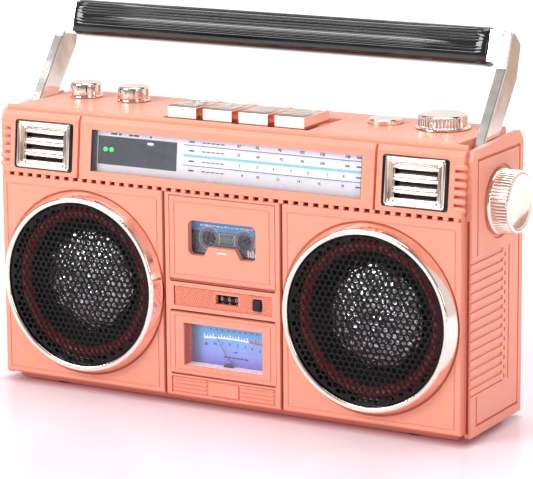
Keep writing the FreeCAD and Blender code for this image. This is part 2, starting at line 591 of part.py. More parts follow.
def vent_trim(side):
    """A stepped frame with three slots between rounded bars."""
    shape = side_box(side, "vent_near + 0.1", "vent_far - 0.1", ("-vent_proud", "vent_foot + 0.1"),
                     ("vent_thick", "vent_head - 0.1"))
    recess = side_box(side, "vent_near + vent_rim", "vent_far - vent_rim",
                      ("-vent_proud - 1", "vent_foot + vent_rim"),
                      ("vent_proud/2", "vent_head - vent_rim"))
    slots = []
    bars = []
    for number in range(VENT_SLOTS):
        low = "vent_first - vent_slot/2 + %d*vent_pitch" % number
        slots.append(side_box(side, "vent_slot_near", "vent_slot_far", ("-5", low),
                              ("9", low + " + vent_slot")))
    for number in range(VENT_SLOTS + 1):
        start = "vent_slot_near - 2" if side > 0 else "-vent_slot_far - 2"
        bars.append(rod((start, "vent_pitch*0.28 + 0.2", "vent_first + vent_pitch*%.1f" % (number - 0.5)),
                        "vent_pitch*0.3", "vent_slot_far - vent_slot_near + 4", "x"))
    return leaning(joined(less(shape, recess, *slots), *bars))


# ---------------------------------------------------------------- dial

def dial():
    """Scale plate, clear window, pointer and indicator lights, all laid on the leaning band."""
    plate = box(("-dial_half - 1", "dial_plate_back - dial_skin", "dial_foot - 1"),
                ("dial_half + 1", "dial_plate_back", "dial_head + 1"))
    node("dial_plate", leaning(plate))
    window = box(("-dial_half + 0.1", "window_front", "dial_foot + 0.1"),
                 ("dial_half - 0.1", "window_front + dial_skin", "dial_head - 0.1"))
    node("dial_window", leaning(window))
    back = "dial_plate_back - dial_skin - pointer_gap"
    pointer = box(("pointer_start - pointer_width/2", back + " - pointer_width", "dial_foot + 1"),
                  ("pointer_start + pointer_width/2", back, "dial_head - 1"))
    node("tuning_pointer", leaning(pointer))
    lights = []
    for across, up in (("-58.9", "light_z"), ("-55.8", "light_z"), ("-36.1", "light_z + 4")):
        front = "dial_plate_back - dial_skin - light_radius/2"
        lights.append(rod((across, front, up), "light_radius", "light_radius/2", "y"))
    node("indicator_lights", leaning(joined(*lights)))


# ---------------------------------------------------------------- cassette door and cassette

def cassette_door():
    """The tip-out door with its window opening, the tab that rises into it and two hinge pins."""
    panel = extruded([
        ("front_y + edge_break", "door_low"), ("front_y", "door_low + edge_break"),
        ("front_y", "door_high - edge_break/2"), ("front_y + edge_break/2", "door_high"),
        ("front_y + wall", "door_high"), ("front_y + wall", "door_low"),
    ], "-door_half", "2*door_half")
    raised = frame_groove(1, "-door_half + bevel_inset", "door_half - bevel_inset",
                          "door_low + bevel_inset",
                          "door_high - bevel_inset")
    opening = box(("-window_half", "front_y - 1", "window_low"),
                  ("window_half", "front_y + wall + 1", "window_high"))
    doc.recompute()
    corners = doc.addObject("Part::Fillet", "Corners")
    corners.Base = opening
    corners.Edges = [(number, DIMS["window_corner"], DIMS["window_corner"])
                     for number, edge in enumerate(opening.Shape.Edges, start=1) if runs_along(edge, "y")]
    tab = place(doc.addObject("Part::Wedge", "Tab"), ("0", "front_y", "window_low - 0.1"))
    bind(tab, Xmin="-tab_foot_half", Xmax="tab_foot_half", X2min="-tab_foot_half", X2max="tab_foot_half",
         Ymin="0", Ymax="wall", Zmin="0", Zmax="tab_top - window_low", Z2min="0",
         Z2max="tab_top - window_low")
    pins = [rod((start, "door_hinge_y", "door_hinge_z"), "door_pin", "pin_reach + 1", "x")
            for start in ("-door_half - pin_reach", "door_half - 1")]
    door = joined(less(panel, raised, corners), *pins)
    return joined(door, less(tab, *tab_sides()))


TAB_SLOPE = 29


def tab_sides():
    """Blocks that slope the sides of the tab in towards its top."""
    blocks = []
    for name, side in SIDES:
        block = side_box(side, "0", "10", ("0", "-5"), ("wall + 2", "15"))
        turn = FreeCAD.Rotation(V(0, 1, 0), -TAB_SLOPE * side)
        blocks.append(place(group([block]), ("%d*tab_foot_half" % side, "front_y - 1", "window_low"), turn))
    return blocks


def door_window():
    """The clear pane behind the door's opening."""
    return box(("-window_half - 1.5", "front_y + wall", "window_low - 1.5"),
               ("window_half + 1.5", "front_y + wall + dial_skin", "window_high + 1.5"))


def cassette_holder():
    """The tray behind the door that carries the cassette by its ends and its foot."""
    front = "front_y + wall"
    outer = box(("-holder_half", front, "cassette_low - gap - holder_skin"),
                ("holder_half", "holder_back_y", "holder_top"))
    inside = box(("-cassette_half - gap", front + " - 1", "cassette_low - gap"),
                 ("cassette_half + gap", "holder_back_y - holder_skin", "holder_top + 1"))
    behind = box(("-cassette_half + 3", front + " - 1", "cassette_low + 1"),
                 ("cassette_half - 3", "holder_back_y + 1", "holder_top + 1"))
    below = box(("-20", front + " + 3", "cassette_low - 5"), ("20", "holder_back_y + 1",
                                                              "cassette_low + 2"))
    return less(outer, inside, behind, below)


def cassette_shell():
    """The cassette's case: a thin box, hollow inside, with two reel ports and two capstan ports."""
    back = "cassette_front_y + cassette_deep"
    shell = softened(extruded([
        ("cassette_front_y", "cassette_low"), ("cassette_front_y", "cassette_high"),
        (back, "cassette_high"), (back, "cassette_low"),
    ], "-cassette_half", "2*cassette_half"), "edge_break", lambda edge: runs_along(edge, "y"))
    inside = box(("-cassette_half + shell_skin", "cassette_front_y + shell_skin",
                  "cassette_low + 4*shell_skin"),
                 ("cassette_half - shell_skin", back + " - shell_skin", "cassette_high - shell_skin"))
    mouth = [side_box(side, "capstan_x - 5", "capstan_x + 5", ("cassette_front_y + shell_skin",
                                                               "cassette_low - 1"),
                      (back + " + 1", "cassette_low + 3")) for name, side in SIDES]
    mouth.append(box(("-head_half - 1.5", "cassette_front_y + shell_skin", "cassette_low - 1"),
                     ("head_half + 1.5", back + " - shell_skin", "cassette_low + 2*shell_skin")))
    ports = []
    for name, side in SIDES:
        ports.append(rod(("%d*reel_x" % side, "cassette_front_y - 1", "reel_z"), "hub_port",
                         "cassette_deep + 2", "y"))
        ports.append(rod(("%d*capstan_x" % side, "cassette_front_y - 1", "capstan_z"), "capstan_port",
                         "cassette_deep + 2", "y"))
    return less(shell, inside, *(mouth + ports))


def reel(side, pack):
    """A hub with six teeth inside and the tape wound on it."""
    middle = "cassette_front_y + cassette_deep/2"
    spot = ("%d*reel_x" % side, middle, "reel_z")
    wound = rod((spot[0], middle + " - tape_thick/2", "reel_z"), pack, "tape_thick", "y")
    hub = rod((spot[0], "cassette_front_y + shell_skin + gap", "reel_z"), "hub_port - gap",
              "cassette_deep - 2*shell_skin - 2*gap", "y")
    bore = rod((spot[0], "cassette_front_y", "reel_z"), "hub_bore", "cassette_deep", "y")
    teeth = []
    for number in range(REEL_TEETH):
        tooth = box(("0", "0", "0"), ("hub_tooth", "tape_thick*0.6", "hub_tooth"))
        turn = FreeCAD.Rotation(V(0, 1, 0), 360 / REEL_TEETH * number)
        reach = turn.multVec(V(-DIMS["hub_tooth"] / 2, 0, DIMS["hub_bore"] - DIMS["hub_tooth"] + 0.1))
        teeth.append(place(tooth, (spot[0] + " + (%.4f)" % reach.x, "cassette_front_y + shell_skin + gap",
                                   "reel_z + (%.4f)" % reach.z), turn))
    return joined(less(joined(wound, hub), bore), *teeth)


# ---------------------------------------------------------------- tape mechanism

def spindle(side):
    """A spindle that carries a reel: tip, flange in front of the chassis and wheel behind it."""
    return turned([
        ("0", "spindle_tip_y - chassis_y"), ("spindle_radius*0.5", "spindle_tip_y - chassis_y"),
        ("spindle_radius", "spindle_tip_y - chassis_y + spindle_radius"), ("spindle_radius", "-gap - 0.8"),
        ("spindle_flange*0.6", "-gap - 0.8"), ("spindle_flange*0.6", "-gap"), ("spindle_radius", "-gap"),
        ("spindle_radius", "chassis_skin + gap"), ("spindle_flange", "chassis_skin + gap"),
        ("spindle_flange", "chassis_skin + gap + flywheel_thick"),
        ("0", "chassis_skin + gap + flywheel_thick"),
    ], ("%d*reel_x" % side, "chassis_y", "reel_z"), "y")


def deck_chassis():
    """The plate that the tape mechanism is built on, with its bearings."""
    plate = box(("-chassis_half", "chassis_y", "chassis_low"), ("chassis_half", "chassis_y + chassis_skin",
                                                                "chassis_high"))
    feet = [side_box(side, "chassis_half - 2", "chassis_half", ("front_y + wall", "chassis_low"),
                     ("chassis_y", "chassis_low + 4")) for name, side in SIDES]
    pin = rod(("capstan_x", "chassis_y - 4.5", "roller_z"), "roller_pin", "4.6", "y")
    holes = [rod(("%d*reel_x" % side, "chassis_y - 1", "reel_z"), "spindle_radius + bearing_play", "5", "y")
             for name, side in SIDES]
    holes.append(rod(("capstan_x", "chassis_y - 1", "capstan_z"), "capstan_radius + bearing_play", "5",
                     "y"))
    holes.append(rod(("motor_x", "chassis_y - 1", "motor_z"), "capstan_radius + bearing_play", "5", "y"))
    return less(joined(plate, pin, *feet), *holes)


def capstan_flywheel():
    """The capstan pin with its flywheel behind the chassis."""
    return turned([
        ("0", "spindle_tip_y - flywheel_y"), ("capstan_radius", "spindle_tip_y - flywheel_y"),
        ("capstan_radius", "0"), ("flywheel_radius", "0"), ("flywheel_radius", "0.5"),
        ("flywheel_radius - belt_groove", "0.5"), ("flywheel_radius - belt_groove", "flywheel_thick - 0.5"),
        ("flywheel_radius", "flywheel_thick - 0.5"),
        ("flywheel_radius", "flywheel_thick"), ("flywheel_radius - 2", "flywheel_thick"),
        ("flywheel_radius - 3", "flywheel_thick*0.6"), ("2.5", "flywheel_thick*0.6"),
        ("2.5", "flywheel_thick"), ("0", "flywheel_thick"),
    ], ("capstan_x", "flywheel_y", "capstan_z"), "y")


def motor_pulley():
    """The grooved pulley on the motor's spindle."""
    return turned([
        ("0", "-flywheel_thick"), ("capstan_radius", "-flywheel_thick"), ("capstan_radius", "0"),
        ("pulley_radius", "0"), ("pulley_radius", "0.5"), ("pulley_radius - belt_groove", "0.5"),
        ("pulley_radius - belt_groove", "flywheel_thick - 0.5"), ("pulley_radius", "flywheel_thick - 0.5"),
        ("pulley_radius", "flywheel_thick"), ("0", "flywheel_thick"),
    ], ("motor_x", "flywheel_y", "motor_z"), "y")


def drive_belt():
    """A thin belt round the flywheel and the motor pulley: two arcs and the straight runs between them."""
    big = size("flywheel_radius - belt_groove + bearing_play")
    small = size("pulley_radius - belt_groove + bearing_play")
    flywheel = V(size("capstan_x"), 0, size("capstan_z"))
    pulley = V(size("motor_x"), 0, size("motor_z"))
    skin = size("belt_skin")
    apart = pulley - flywheel

    def loop(extra):
        across = V(apart).normalize()
        upright = V(across.z, 0, -across.x)
        share = (big - small) / apart.Length
        rise = (1 - share * share) ** 0.5
        sides = [across * share + upright * rise, across * share - upright * rise]
        near = [flywheel + side * (big + extra) for side in sides]
        far = [pulley + side * (small + extra) for side in sides]
        back = flywheel - across * (big + extra)
        front = pulley + across * (small + extra)
        edges = [Part.LineSegment(near[0], far[0]), Part.Arc(far[0], front, far[1]),
                 Part.LineSegment(far[1], near[1]), Part.Arc(near[1], back, near[0])]
        return Part.Face(Part.Wire([edge.toShape() for edge in edges]))

    width = size("flywheel_thick") - 1.4
    belt = doc.addObject("Part::Feature", "Belt")
    belt.Shape = loop(skin).cut(loop(0)).extrude(V(0, width, 0))
    return place(belt, ("0", "flywheel_y + 0.7", "0"))


def pinch_roller():
    """The rubber roller that presses the tape against the capstan, free on its pin."""
    length = "3.6"
    start = ("capstan_x", "chassis_y - 4.2", "roller_z")
    return less(rod(start, "roller_radius", length, "y"),
                rod((start[0], "chassis_y - 5", start[2]), "roller_pin + bearing_play", "6", "y"))


def tape_head():
    """The head on its bracket below the cassette's open edge."""
    head = box(("-head_half", "cassette_front_y + 2.2", "head_low"),
               ("head_half", "chassis_y - 3.5", "head_high"))
    bracket = box(("-head_half - 2", "chassis_y - 3.8", "head_low - 1.2"),
                  ("head_half + 2", "chassis_y", "head_low + 1"))
    return joined(head, bracket)


def motor():
    """The motor's can behind the mechanism."""
    start = ("motor_x", "flywheel_y + flywheel_thick + 2", "motor_z")
    can = rod(start, "motor_radius", "motor_long", "y")
    boss = rod((start[0], "flywheel_y + flywheel_thick + gap", start[2]), "3", "2", "y")
    return joined(can, boss)


# ---------------------------------------------------------------- counter and meter

def counter_wheel(number):
    """One of the three number wheels, on a common axle."""
    width = "(counter_long - 0.6)/3"
    start = "counter_x + 0.3 + %d*%s + 0.1" % (number, width)
    spot = (start, "counter_wheel_y", "(counter_window_low + counter_window_high)/2")
    wheel = rod(spot, "counter_wheel_radius", width + " - 0.2", "x")
    return less(wheel, rod((start + " - 1", spot[1], spot[2]), "counter_axle + bearing_play", "8", "x"))


def counter_axle():
    """The axle of the counter wheels, held by two small cheeks."""
    height = "(counter_window_low + counter_window_high)/2"
    axle = rod(("counter_x - 2", "counter_wheel_y", height), "counter_axle", "counter_long + 4", "x")
    ears = [box((start, "front_y + wall", height + " - 4"), (start + " + 1", "counter_wheel_y + 3",
                                                             height + " + 4"))
            for start in ("counter_x - 2.5", "counter_x + counter_long + 1.5")]
    return joined(axle, *ears)


def reset_button():
    """The counter's push button."""
    post = box(("reset_x", "front_y - reset_proud", "reset_low"),
               ("reset_x + reset_long", "front_y + reset_deep", "reset_high"))
    stop = box(("reset_x - 0.9", "front_y + wall + gap/2", "reset_low - 0.9"),
               ("reset_x + reset_long + 0.9", "front_y + wall + 1", "reset_high + 0.9"))
    return joined(post, stop)


def meter():
    """Bezel with its deep opening, face, and the needle on its pin."""
    plate = box(("-meter_half", "front_y", "meter_low"), ("meter_half", "front_y + meter_skin",
                                                          "meter_high"))
    tube = box(("-meter_open_half - meter_skin", "front_y", "meter_open_low - meter_skin"),
               ("meter_open_half + meter_skin", "meter_floor_y", "meter_open_high + meter_skin"))
    opening = box(("-meter_open_half", "front_y - 1", "meter_open_low"),
                  ("meter_open_half", "back_y", "meter_open_high"))
    line = frame_groove(1, "-meter_half + bevel_inset", "meter_half - bevel_inset",
                        "meter_low + bevel_inset/2",
                        "meter_high - bevel_inset/2")
    node("meter_bezel", less(joined(plate, tube), opening, line))
    face = box(("-meter_open_half - meter_skin", "meter_floor_y", "meter_open_low - meter_skin"),
               ("meter_open_half + meter_skin", "meter_floor_y + 1", "meter_open_high + meter_skin"))
    pin = rod(("0", "needle_y - 0.6", "needle_z"), "needle_pin", "meter_floor_y - needle_y + 0.7", "y")
    node("meter_face", joined(face, pin))
    hub = rod(("0", "needle_y - 0.4", "needle_z"), "needle_hub", "0.8", "y")
    blade = box(("-needle_wide/2", "-0.2", "0"), ("needle_wide/2", "0.2", "needle_long"))
    place(blade, ("-needle_wide/2*0.848", "needle_y - 0.2", "needle_z - needle_wide/2*0.53"),
          FreeCAD.Rotation(V(0, 1, 0), -DIMS["needle_turn"]))
    bore = rod(("0", "needle_y - 2", "needle_z"), "needle_pin + bearing_play", "4", "y")
    node("meter_needle", less(joined(hub, blade), bore))


# ---------------------------------------------------------------- keys and deck controls

def key(number):
    """A piano key: cap with a ribbed rear edge, and the lever that hangs on the key shaft."""
    start = "key_first_x + %d*key_pitch" % number
    top = "deck_top + key_rise"
    cap = softened(extruded([
        ("key_front_y", "deck_top - 0.2"), ("key_front_y", top + " - key_soft"),
        ("key_front_y + key_soft", top), ("key_back_y", "deck_top + key_back_rise"),
        ("key_back_y", "deck_top - 0.2"),
    ], start, "key_width"), "key_soft",
        lambda edge: edge.BoundBox.YLength > 5 and edge.BoundBox.ZMin > DIMS["deck_top"] + 2)
    ribs = [box((start + " + 1", "key_back_y - 1 - %d*key_rib_pitch" % rib, top + " - 1.2"),
                (start + " + key_width - 1", "key_back_y - 1 - %d*key_rib_pitch + key_rib" % rib,
                 top + " + 0.1"))
            for rib in range(KEY_RIBS)]
    middle = start + " + key_width/2"
    lever = box((middle + " - key_lever/2", "key_shaft_y - 2.4", "key_shaft_z - 2"),
                (middle + " + key_lever/2", "key_shaft_y + 2", "deck_top"))
    bore = rod((start, "key_shaft_y", "key_shaft_z"), "key_shaft_radius + bearing_play", "key_width", "x")
    return less(joined(cap, lever, *ribs), bore)


def flutes(middle, at_low, length, radius, along, count):
    """Shallow round grooves round a knob's rim."""
    cuts = []
    for number in range(count):
        spoke = FreeCAD.Rotation(V(0, 0, 1), 360.0 * number / count).multVec(V(size(radius), 0, 0))
        if along == "z":
            start = (middle[0] + " + (%.3f)" % spoke.x, middle[1] + " + (%.3f)" % spoke.y, at_low)
        else:
            start = (at_low, middle[1] + " + (%.3f)" % spoke.x, middle[2] + " + (%.3f)" % spoke.y)
        cuts.append(rod(start, "flute", length, along))
    return group(cuts)


def volume_knob():
    """The large knurled knob on its flange."""
    knob = turned([
        ("0", "-stem_long"), ("stem", "-stem_long"), ("stem", "gap"), ("volume_dish", "gap"),
        ("volume_dish", "gap + 0.5"), ("volume_radius", "gap + 1"), ("volume_radius", "volume_rise - 0.9"),
        ("volume_radius - 0.9", "volume_rise"), ("0", "volume_rise"),
    ], ("volume_x", "control_y", "deck_top"), "z")
    grooves = flutes(("volume_x", "control_y"), "deck_top + 1.3", "volume_rise", "volume_radius + 0.1",
                     "z", VOLUME_FLUTES)
    return less(knob, grooves)


def small_knob(middle):
    """A smooth knob with a turned-out foot."""
    return turned([
        ("0", "-stem_long"), ("stem", "-stem_long"), ("stem", "gap"), ("small_flange", "gap"),
        ("small_flange", "gap + 0.4"), ("small_radius", "gap + 1"), ("small_radius", "small_rise - 0.7"),
        ("small_radius - 0.5", "small_rise - 0.15"), ("small_radius - 1.2", "small_rise"),
        ("0", "small_rise - 0.3"),
    ], (middle, "control_y", "deck_top"), "z")


def power_button():
    """A low round push button in a collar."""
    return turned([
        ("0", "-stem_long"), ("stem", "-stem_long"), ("stem", "0"), ("power_radius", "0"),
        ("power_radius", "power_rise - 0.4"), ("power_radius - 0.6", "power_rise"),
        ("0", "power_rise + 0.4"),
    ], ("power_x", "control_y", "deck_top"), "z")


def tuning_knob():
    """The knurled knob that stands out of the right cheek."""
    out = "cheek_width/2"
    knob = turned([
        ("0", "-tuning_stem_long"), ("tuning_stem", "-tuning_stem_long"),
        ("tuning_stem", "gap - tuning_dish_deep"),
        ("tuning_base", "gap - tuning_dish_deep"), ("tuning_base", "1"), ("tuning_base - 0.5", "1.5"),
        ("tuning_face + 0.3", "tuning_out - 1"), ("tuning_face - 0.6", "tuning_out"),
        ("tuning_face - 2", "tuning_out"), ("tuning_face - 2.6", "tuning_out - 0.5"),
        ("0", "tuning_out - 0.5"),
    ], (out, "tuning_y", "tuning_z"), "x")
    grooves = flutes(("0", "tuning_y", "tuning_z"), out + " + 1.2", "tuning_out - 2", "tuning_face + 0.9",
                     "x", TUNING_FLUTES)
    return less(knob, grooves)


# ---------------------------------------------------------------- handle

def handle_arm(side):
    """A kinked arm with a boss round its pivot and the stub that carries the grip."""
    start = "arm_in" if side > 0 else "-arm_out"
    arm = softened(extruded([
        ("arm_foot_front_y", "arm_foot_front_z"), ("arm_knee_front_y", "arm_knee_front_z"),
        ("arm_top_front_y", "arm_top_front_z"), ("arm_top_front_y + 3", "arm_top_front_z"),
        ("arm_top_back_y", "arm_top_back_z"),
        ("arm_knee_back_y", "arm_knee_back_z"), ("arm_foot_back_y", "arm_foot_back_z"),
    ], start, "arm_out - arm_in"), "arm_soft",
        lambda edge: not runs_along(edge, "x") and edge.BoundBox.ZMax > DIMS["arm_foot_front_z"] + 1)
    boss = rod((start, "pivot_y", "pivot_z"), "arm_boss", "arm_out - arm_in", "x")
    length = "arm_in - grip_end + 1"
    stub = box(("0", "0", "0"), (length, "stub_deep", "stub_high"))
    lean = FreeCAD.Rotation(V(1, 0, 0), -DIMS["grip_tilt"])
    corner = lean.multVec(V(0, -DIMS["stub_deep"] / 2, -DIMS["stub_high"] / 2))
    stub_start = "grip_end" if side > 0 else "-arm_in - 1"
    place(stub, (stub_start, "grip_y + (%.4f)" % corner.y, "grip_z + (%.4f)" % corner.z), lean)
    bore = rod((start + " - 1", "pivot_y", "pivot_z"), "pivot_radius + bearing_play",
               "arm_out - arm_in + 2", "x")
    return less(joined(arm, boss, stub), bore)


def handle_grip():
    """The grip: a rounded bar with lengthwise ribs on its upper front."""
    half_y = "grip_deep/2"
    half_z = "grip_high/2"
    bar = doc.addObject("PartDesign::Body", "Grip")
    corners = [("-(%s)" % half_y, "-(%s) + grip_soft" % half_z), ("-(%s)" % half_y, "grip_soft*0.6"),
               ("-(%s) + 1.2" % half_y, half_z + " - grip_soft*0.5"),
               ("-(%s) + grip_soft" % half_y, half_z),
               (half_y + " - grip_soft", half_z), (half_y, half_z + " - grip_soft"),
               (half_y, "-(%s) + grip_soft" % half_z), (half_y + " - grip_soft", "-(%s)" % half_z),
               ("-(%s) + grip_soft" % half_y, "-(%s)" % half_z)]
    sketch = outline(bar, "YZ_Plane", corners)
    pad = bar.newObject("PartDesign::Pad", "Pad")
    pad.Profile = sketch
    pad.setExpression("Length", bound("2*grip_end"))
    bar.Tip = pad
    softened(bar, "1.5", lambda edge: runs_along(edge, "x"))
    return place(bar, ("-grip_end", "grip_y", "grip_z"), FreeCAD.Rotation(V(1, 0, 0), -DIMS["grip_tilt"]))


# ---------------------------------------------------------------- back and inside

def battery_door():
    """The rear battery door on two small pins at its foot."""
    panel = box(("-battery_half + gap", "back_y - battery_skin", "battery_low"),
                ("battery_half - gap", "back_y", "battery_high"))
    pin = rod(("-battery_half - 1", "back_y - battery_skin/2", "battery_hinge_z"), "door_pin",
              "2*battery_half + 2", "x")
    grips = [box(("-12", "back_y - 0.6", "battery_high - 4 - %d*strip_pitch" % number),
                 ("12", "back_y + 1", "battery_high - 4 - %d*strip_pitch + strip" % number))
             for number in range(DOOR_GRIPS)]
    return less(joined(panel, pin), *grips)


def batteries():
    """Four round cells in two rows, each with its raised contact."""
    cells = []
    for row in range(2):
        for name, side in SIDES:
            start = "1" if side > 0 else "-1 - cell_long - 1.2"
            height = "cell_z + %d*cell_pitch" % row
            body = rod((start, "cell_y", height), "cell_radius", "cell_long", "x")
            tip = rod((start + " + cell_long", "cell_y", height), "cell_radius*0.38", "1.2", "x")
            cells.append(joined(body, tip))
    return group(cells)


def circuit_board():
    """The main board with the power inlet's block and a few tall components."""
    right = "board_left + board_long"
    board = box(("board_left", "board_y", "board_low"), (right, "board_y + board_skin", "board_high"))
    jack = less(box(("jack_x - jack_size/2", "board_y", "jack_z - jack_size/2"),
                    ("jack_x + jack_size/2", "back_y - wall", "jack_z + jack_size/2")),
                rod(("jack_x", "back_y - wall - 6", "jack_z"), "jack_bore", "7", "y"))
    cans = [rod((spot, "board_y + board_skin/2", height), "3", "8", "y")
            for spot, height in (("70", "60"), ("70", "70"), ("96", "80"))]
    chip = box(("76", "board_y", "48"), ("92", "board_y + board_skin + 2", "58"))
    return joined(board, jack, chip, *cans)


def build():
    """Make every sub-part under its name."""
    node("front_cabinet", front_cabinet())
    node("top_deck", top_deck())
    node("rear_cover", rear_cover())
    node("base_plinth", base_plinth())
    node("rubber_feet", rubber_feet())
    node("case_screws", case_screws())
    for name, side in SIDES:
        node(name + "_cheek", cheek(side))
        node(name + "_vent_trim", vent_trim(side))
        node(name + "_handle_arm", handle_arm(side))
        speaker(side)
    node("handle_grip", handle_grip())
    dial()
    node("cassette_door", cassette_door())
    node("door_window", door_window())
    node("cassette_holder", cassette_holder())
    node("cassette_shell", cassette_shell())
    node("supply_reel", reel(-1, "supply_pack"))
    node("take_up_reel", reel(1, "take_up_pack"))
    node("supply_spindle", spindle(-1))
    node("take_up_spindle", spindle(1))
    node("deck_chassis", deck_chassis())
    node("capstan_flywheel", capstan_flywheel())
    node("motor_pulley", motor_pulley())
    node("drive_belt", drive_belt())
    node("pinch_roller", pinch_roller())
    node("tape_head", tape_head())
    node("motor", motor())
    for number, name in enumerate(COUNTER_WHEELS):
        node(name + "_wheel", counter_wheel(number))
    node("reset_button", reset_button())
    meter()
    for number, name in enumerate(KEYS):
        node(name, key(number))
    node("key_shaft", rod(("well_left - side_wall", "key_shaft_y", "key_shaft_z"), "key_shaft_radius",
                          "well_right - well_left + 2*side_wall", "x"))
    node("volume_knob", volume_knob())
    node("tone_knob", small_knob("tone_x"))
    node("band_knob", small_knob("band_x"))
    node("power_button", power_button())
    node("tuning_knob", tuning_knob())
    node("battery_door", battery_door())
    node("batteries", batteries())
    node("circuit_board", circuit_board())
    doc.recompute()


def check_and_write():
    """Refuse a failed object or a bad shape, then write one STEP file for each sub-part."""
    failed = [item for item in doc.Objects if "Invalid" in item.State or "Error" in item.State]
    if failed:
        users = ["%s in %s" % (item.Name, [user.Label for user in item.InListRecursive]) for item in failed]
        raise RuntimeError("failed objects: " + "; ".join(users))
    os.makedirs("parts", exist_ok=True)
    for item in nodes:
        shape = item.Shape
        if shape.isNull() or not shape.isValid() or not shape.Solids:
            raise RuntimeError("bad shape: " + item.Label)
        shape.exportStep(os.path.join("parts", item.Label + ".step"))
        print("%-24s solids %d volume %.1f" % (item.Label, len(shape.Solids), shape.Volume))
    print(len(nodes), "sub-parts")


build()
check_and_write()
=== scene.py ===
import json
import math
import random

import bpy
from mathutils import Matrix, Vector


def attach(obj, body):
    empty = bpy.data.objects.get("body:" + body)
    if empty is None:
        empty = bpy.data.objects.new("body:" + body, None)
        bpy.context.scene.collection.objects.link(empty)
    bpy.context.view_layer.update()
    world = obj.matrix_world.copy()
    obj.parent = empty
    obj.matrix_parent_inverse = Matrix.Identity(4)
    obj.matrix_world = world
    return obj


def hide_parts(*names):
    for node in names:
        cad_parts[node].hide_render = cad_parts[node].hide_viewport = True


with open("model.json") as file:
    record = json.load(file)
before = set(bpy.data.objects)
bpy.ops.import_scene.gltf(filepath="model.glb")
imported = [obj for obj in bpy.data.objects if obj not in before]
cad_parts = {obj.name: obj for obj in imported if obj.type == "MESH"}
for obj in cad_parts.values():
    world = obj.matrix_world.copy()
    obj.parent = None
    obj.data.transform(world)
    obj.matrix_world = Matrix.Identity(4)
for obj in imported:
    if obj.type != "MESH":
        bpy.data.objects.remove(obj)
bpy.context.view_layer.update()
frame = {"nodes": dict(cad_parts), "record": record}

MM = 0.001

# ---------------------------------------------------------------- places on the object, in millimetres

FRONT_Y = -27.2
BAND_FOOT = (-27.2, 95.4)
BAND_LEAN = math.radians(5.9)
SPEAKER_X = 70.87
SPEAKER_Z = 49.47
CONTROL_Y = 11.0
DECK_TOP = 125.5
SIDES = ((-1, "left"), (1, "right"))


def on_band(x, depth, up):
    """A point on the leaning upper band: depth behind its face, height up it."""
    c, s = math.cos(BAND_LEAN), math.sin(BAND_LEAN)
    return Vector((x, BAND_FOOT[0] + depth * c + up * s, BAND_FOOT[1] - depth * s + up * c))


def inwards(at, depth):
    """The step of a given depth into a surface, where at(x, depth, up) is a point of it."""
    return at(0, depth, 0) - at(0, 0, 0)


# ---------------------------------------------------------------- materials

class Surface:
    """A node material built step by step round one principled shader."""

    def __init__(self, name, **sockets):
        self.material = bpy.data.materials.new(name)
        self.material.use_nodes = True
        self.tree = self.material.node_tree
        self.shader = self.tree.nodes["Principled BSDF"]
        for key, value in sockets.items():
            self.shader.inputs[key.replace("_", " ")].default_value = value
        self.place = self.add("ShaderNodeTexCoord").outputs["Object"]
        self.normal = None

    def add(self, kind, links=None, **settings):
        item = self.tree.nodes.new(kind)
        for key, value in settings.items():
            setattr(item, key, value)
        for key, value in (links or {}).items():
            if isinstance(value, bpy.types.NodeSocket):
                self.tree.links.new(value, item.inputs[key])
            else:
                item.inputs[key].default_value = value
        return item

    def to(self, socket, key):
        self.tree.links.new(socket, self.shader.inputs[key])

    def noise(self, scale, detail=3.0, rough=0.55, vector=None):
        return self.add("ShaderNodeTexNoise", {"Vector": vector or self.place, "Scale": scale,
                                               "Detail": detail, "Roughness": rough}).outputs["Fac"]

    def cells(self, scale):
        return self.add("ShaderNodeTexVoronoi", {"Vector": self.place, "Scale": scale}).outputs["Distance"]

    def stretch(self, scale):
        return self.add("ShaderNodeVectorMath", {0: self.place, 1: scale}, operation="MULTIPLY").outputs[0]

    def remap(self, value, low, high, start=0.0, end=1.0):
        return self.add("ShaderNodeMapRange", {"Value": value, "From Min": low, "From Max": high,
                                               "To Min": start, "To Max": end}).outputs["Result"]

    def maths(self, operation, first, second=0.0):
        return self.add("ShaderNodeMath", {0: first, 1: second}, operation=operation).outputs[0]

    def mix(self, factor, first, second):
        item = self.add("ShaderNodeMix", {"Factor": factor}, data_type="RGBA")
        for number, value in ((6, first), (7, second)):
            if isinstance(value, bpy.types.NodeSocket):
                self.tree.links.new(value, item.inputs[number])
            else:
                item.inputs[number].default_value = (*value[:3], 1)
        return item.outputs[2]

    def bump(self, height, strength, distance):
        links = {"Height": height, "Strength": strength, "Distance": distance * MM}
        if self.normal:
            links["Normal"] = self.normal
        self.normal = self.add("ShaderNodeBump", links).outputs["Normal"]
        self.to(self.normal, "Normal")

    def rounded(self, radius):
        """Softened edges: the shading normal turns over them."""
        self.normal = self.add("ShaderNodeBevel", {"Radius": radius * MM}, samples=4).outputs["Normal"]
        self.to(self.normal, "Normal")

    def edge_mask(self):
        """1 where the softened normal leaves the true one, 0 on flat faces."""
        true = self.add("ShaderNodeNewGeometry").outputs["True Normal"]
        dot = self.add("ShaderNodeVectorMath", {0: self.normal, 1: true}, operation="DOT_PRODUCT")
        return self.remap(dot.outputs["Value"], 0.995, 0.8)


def tone(color, factor):
    """A colour made lighter or darker."""
    return tuple(min(1.0, channel * factor) for channel in color[:3])


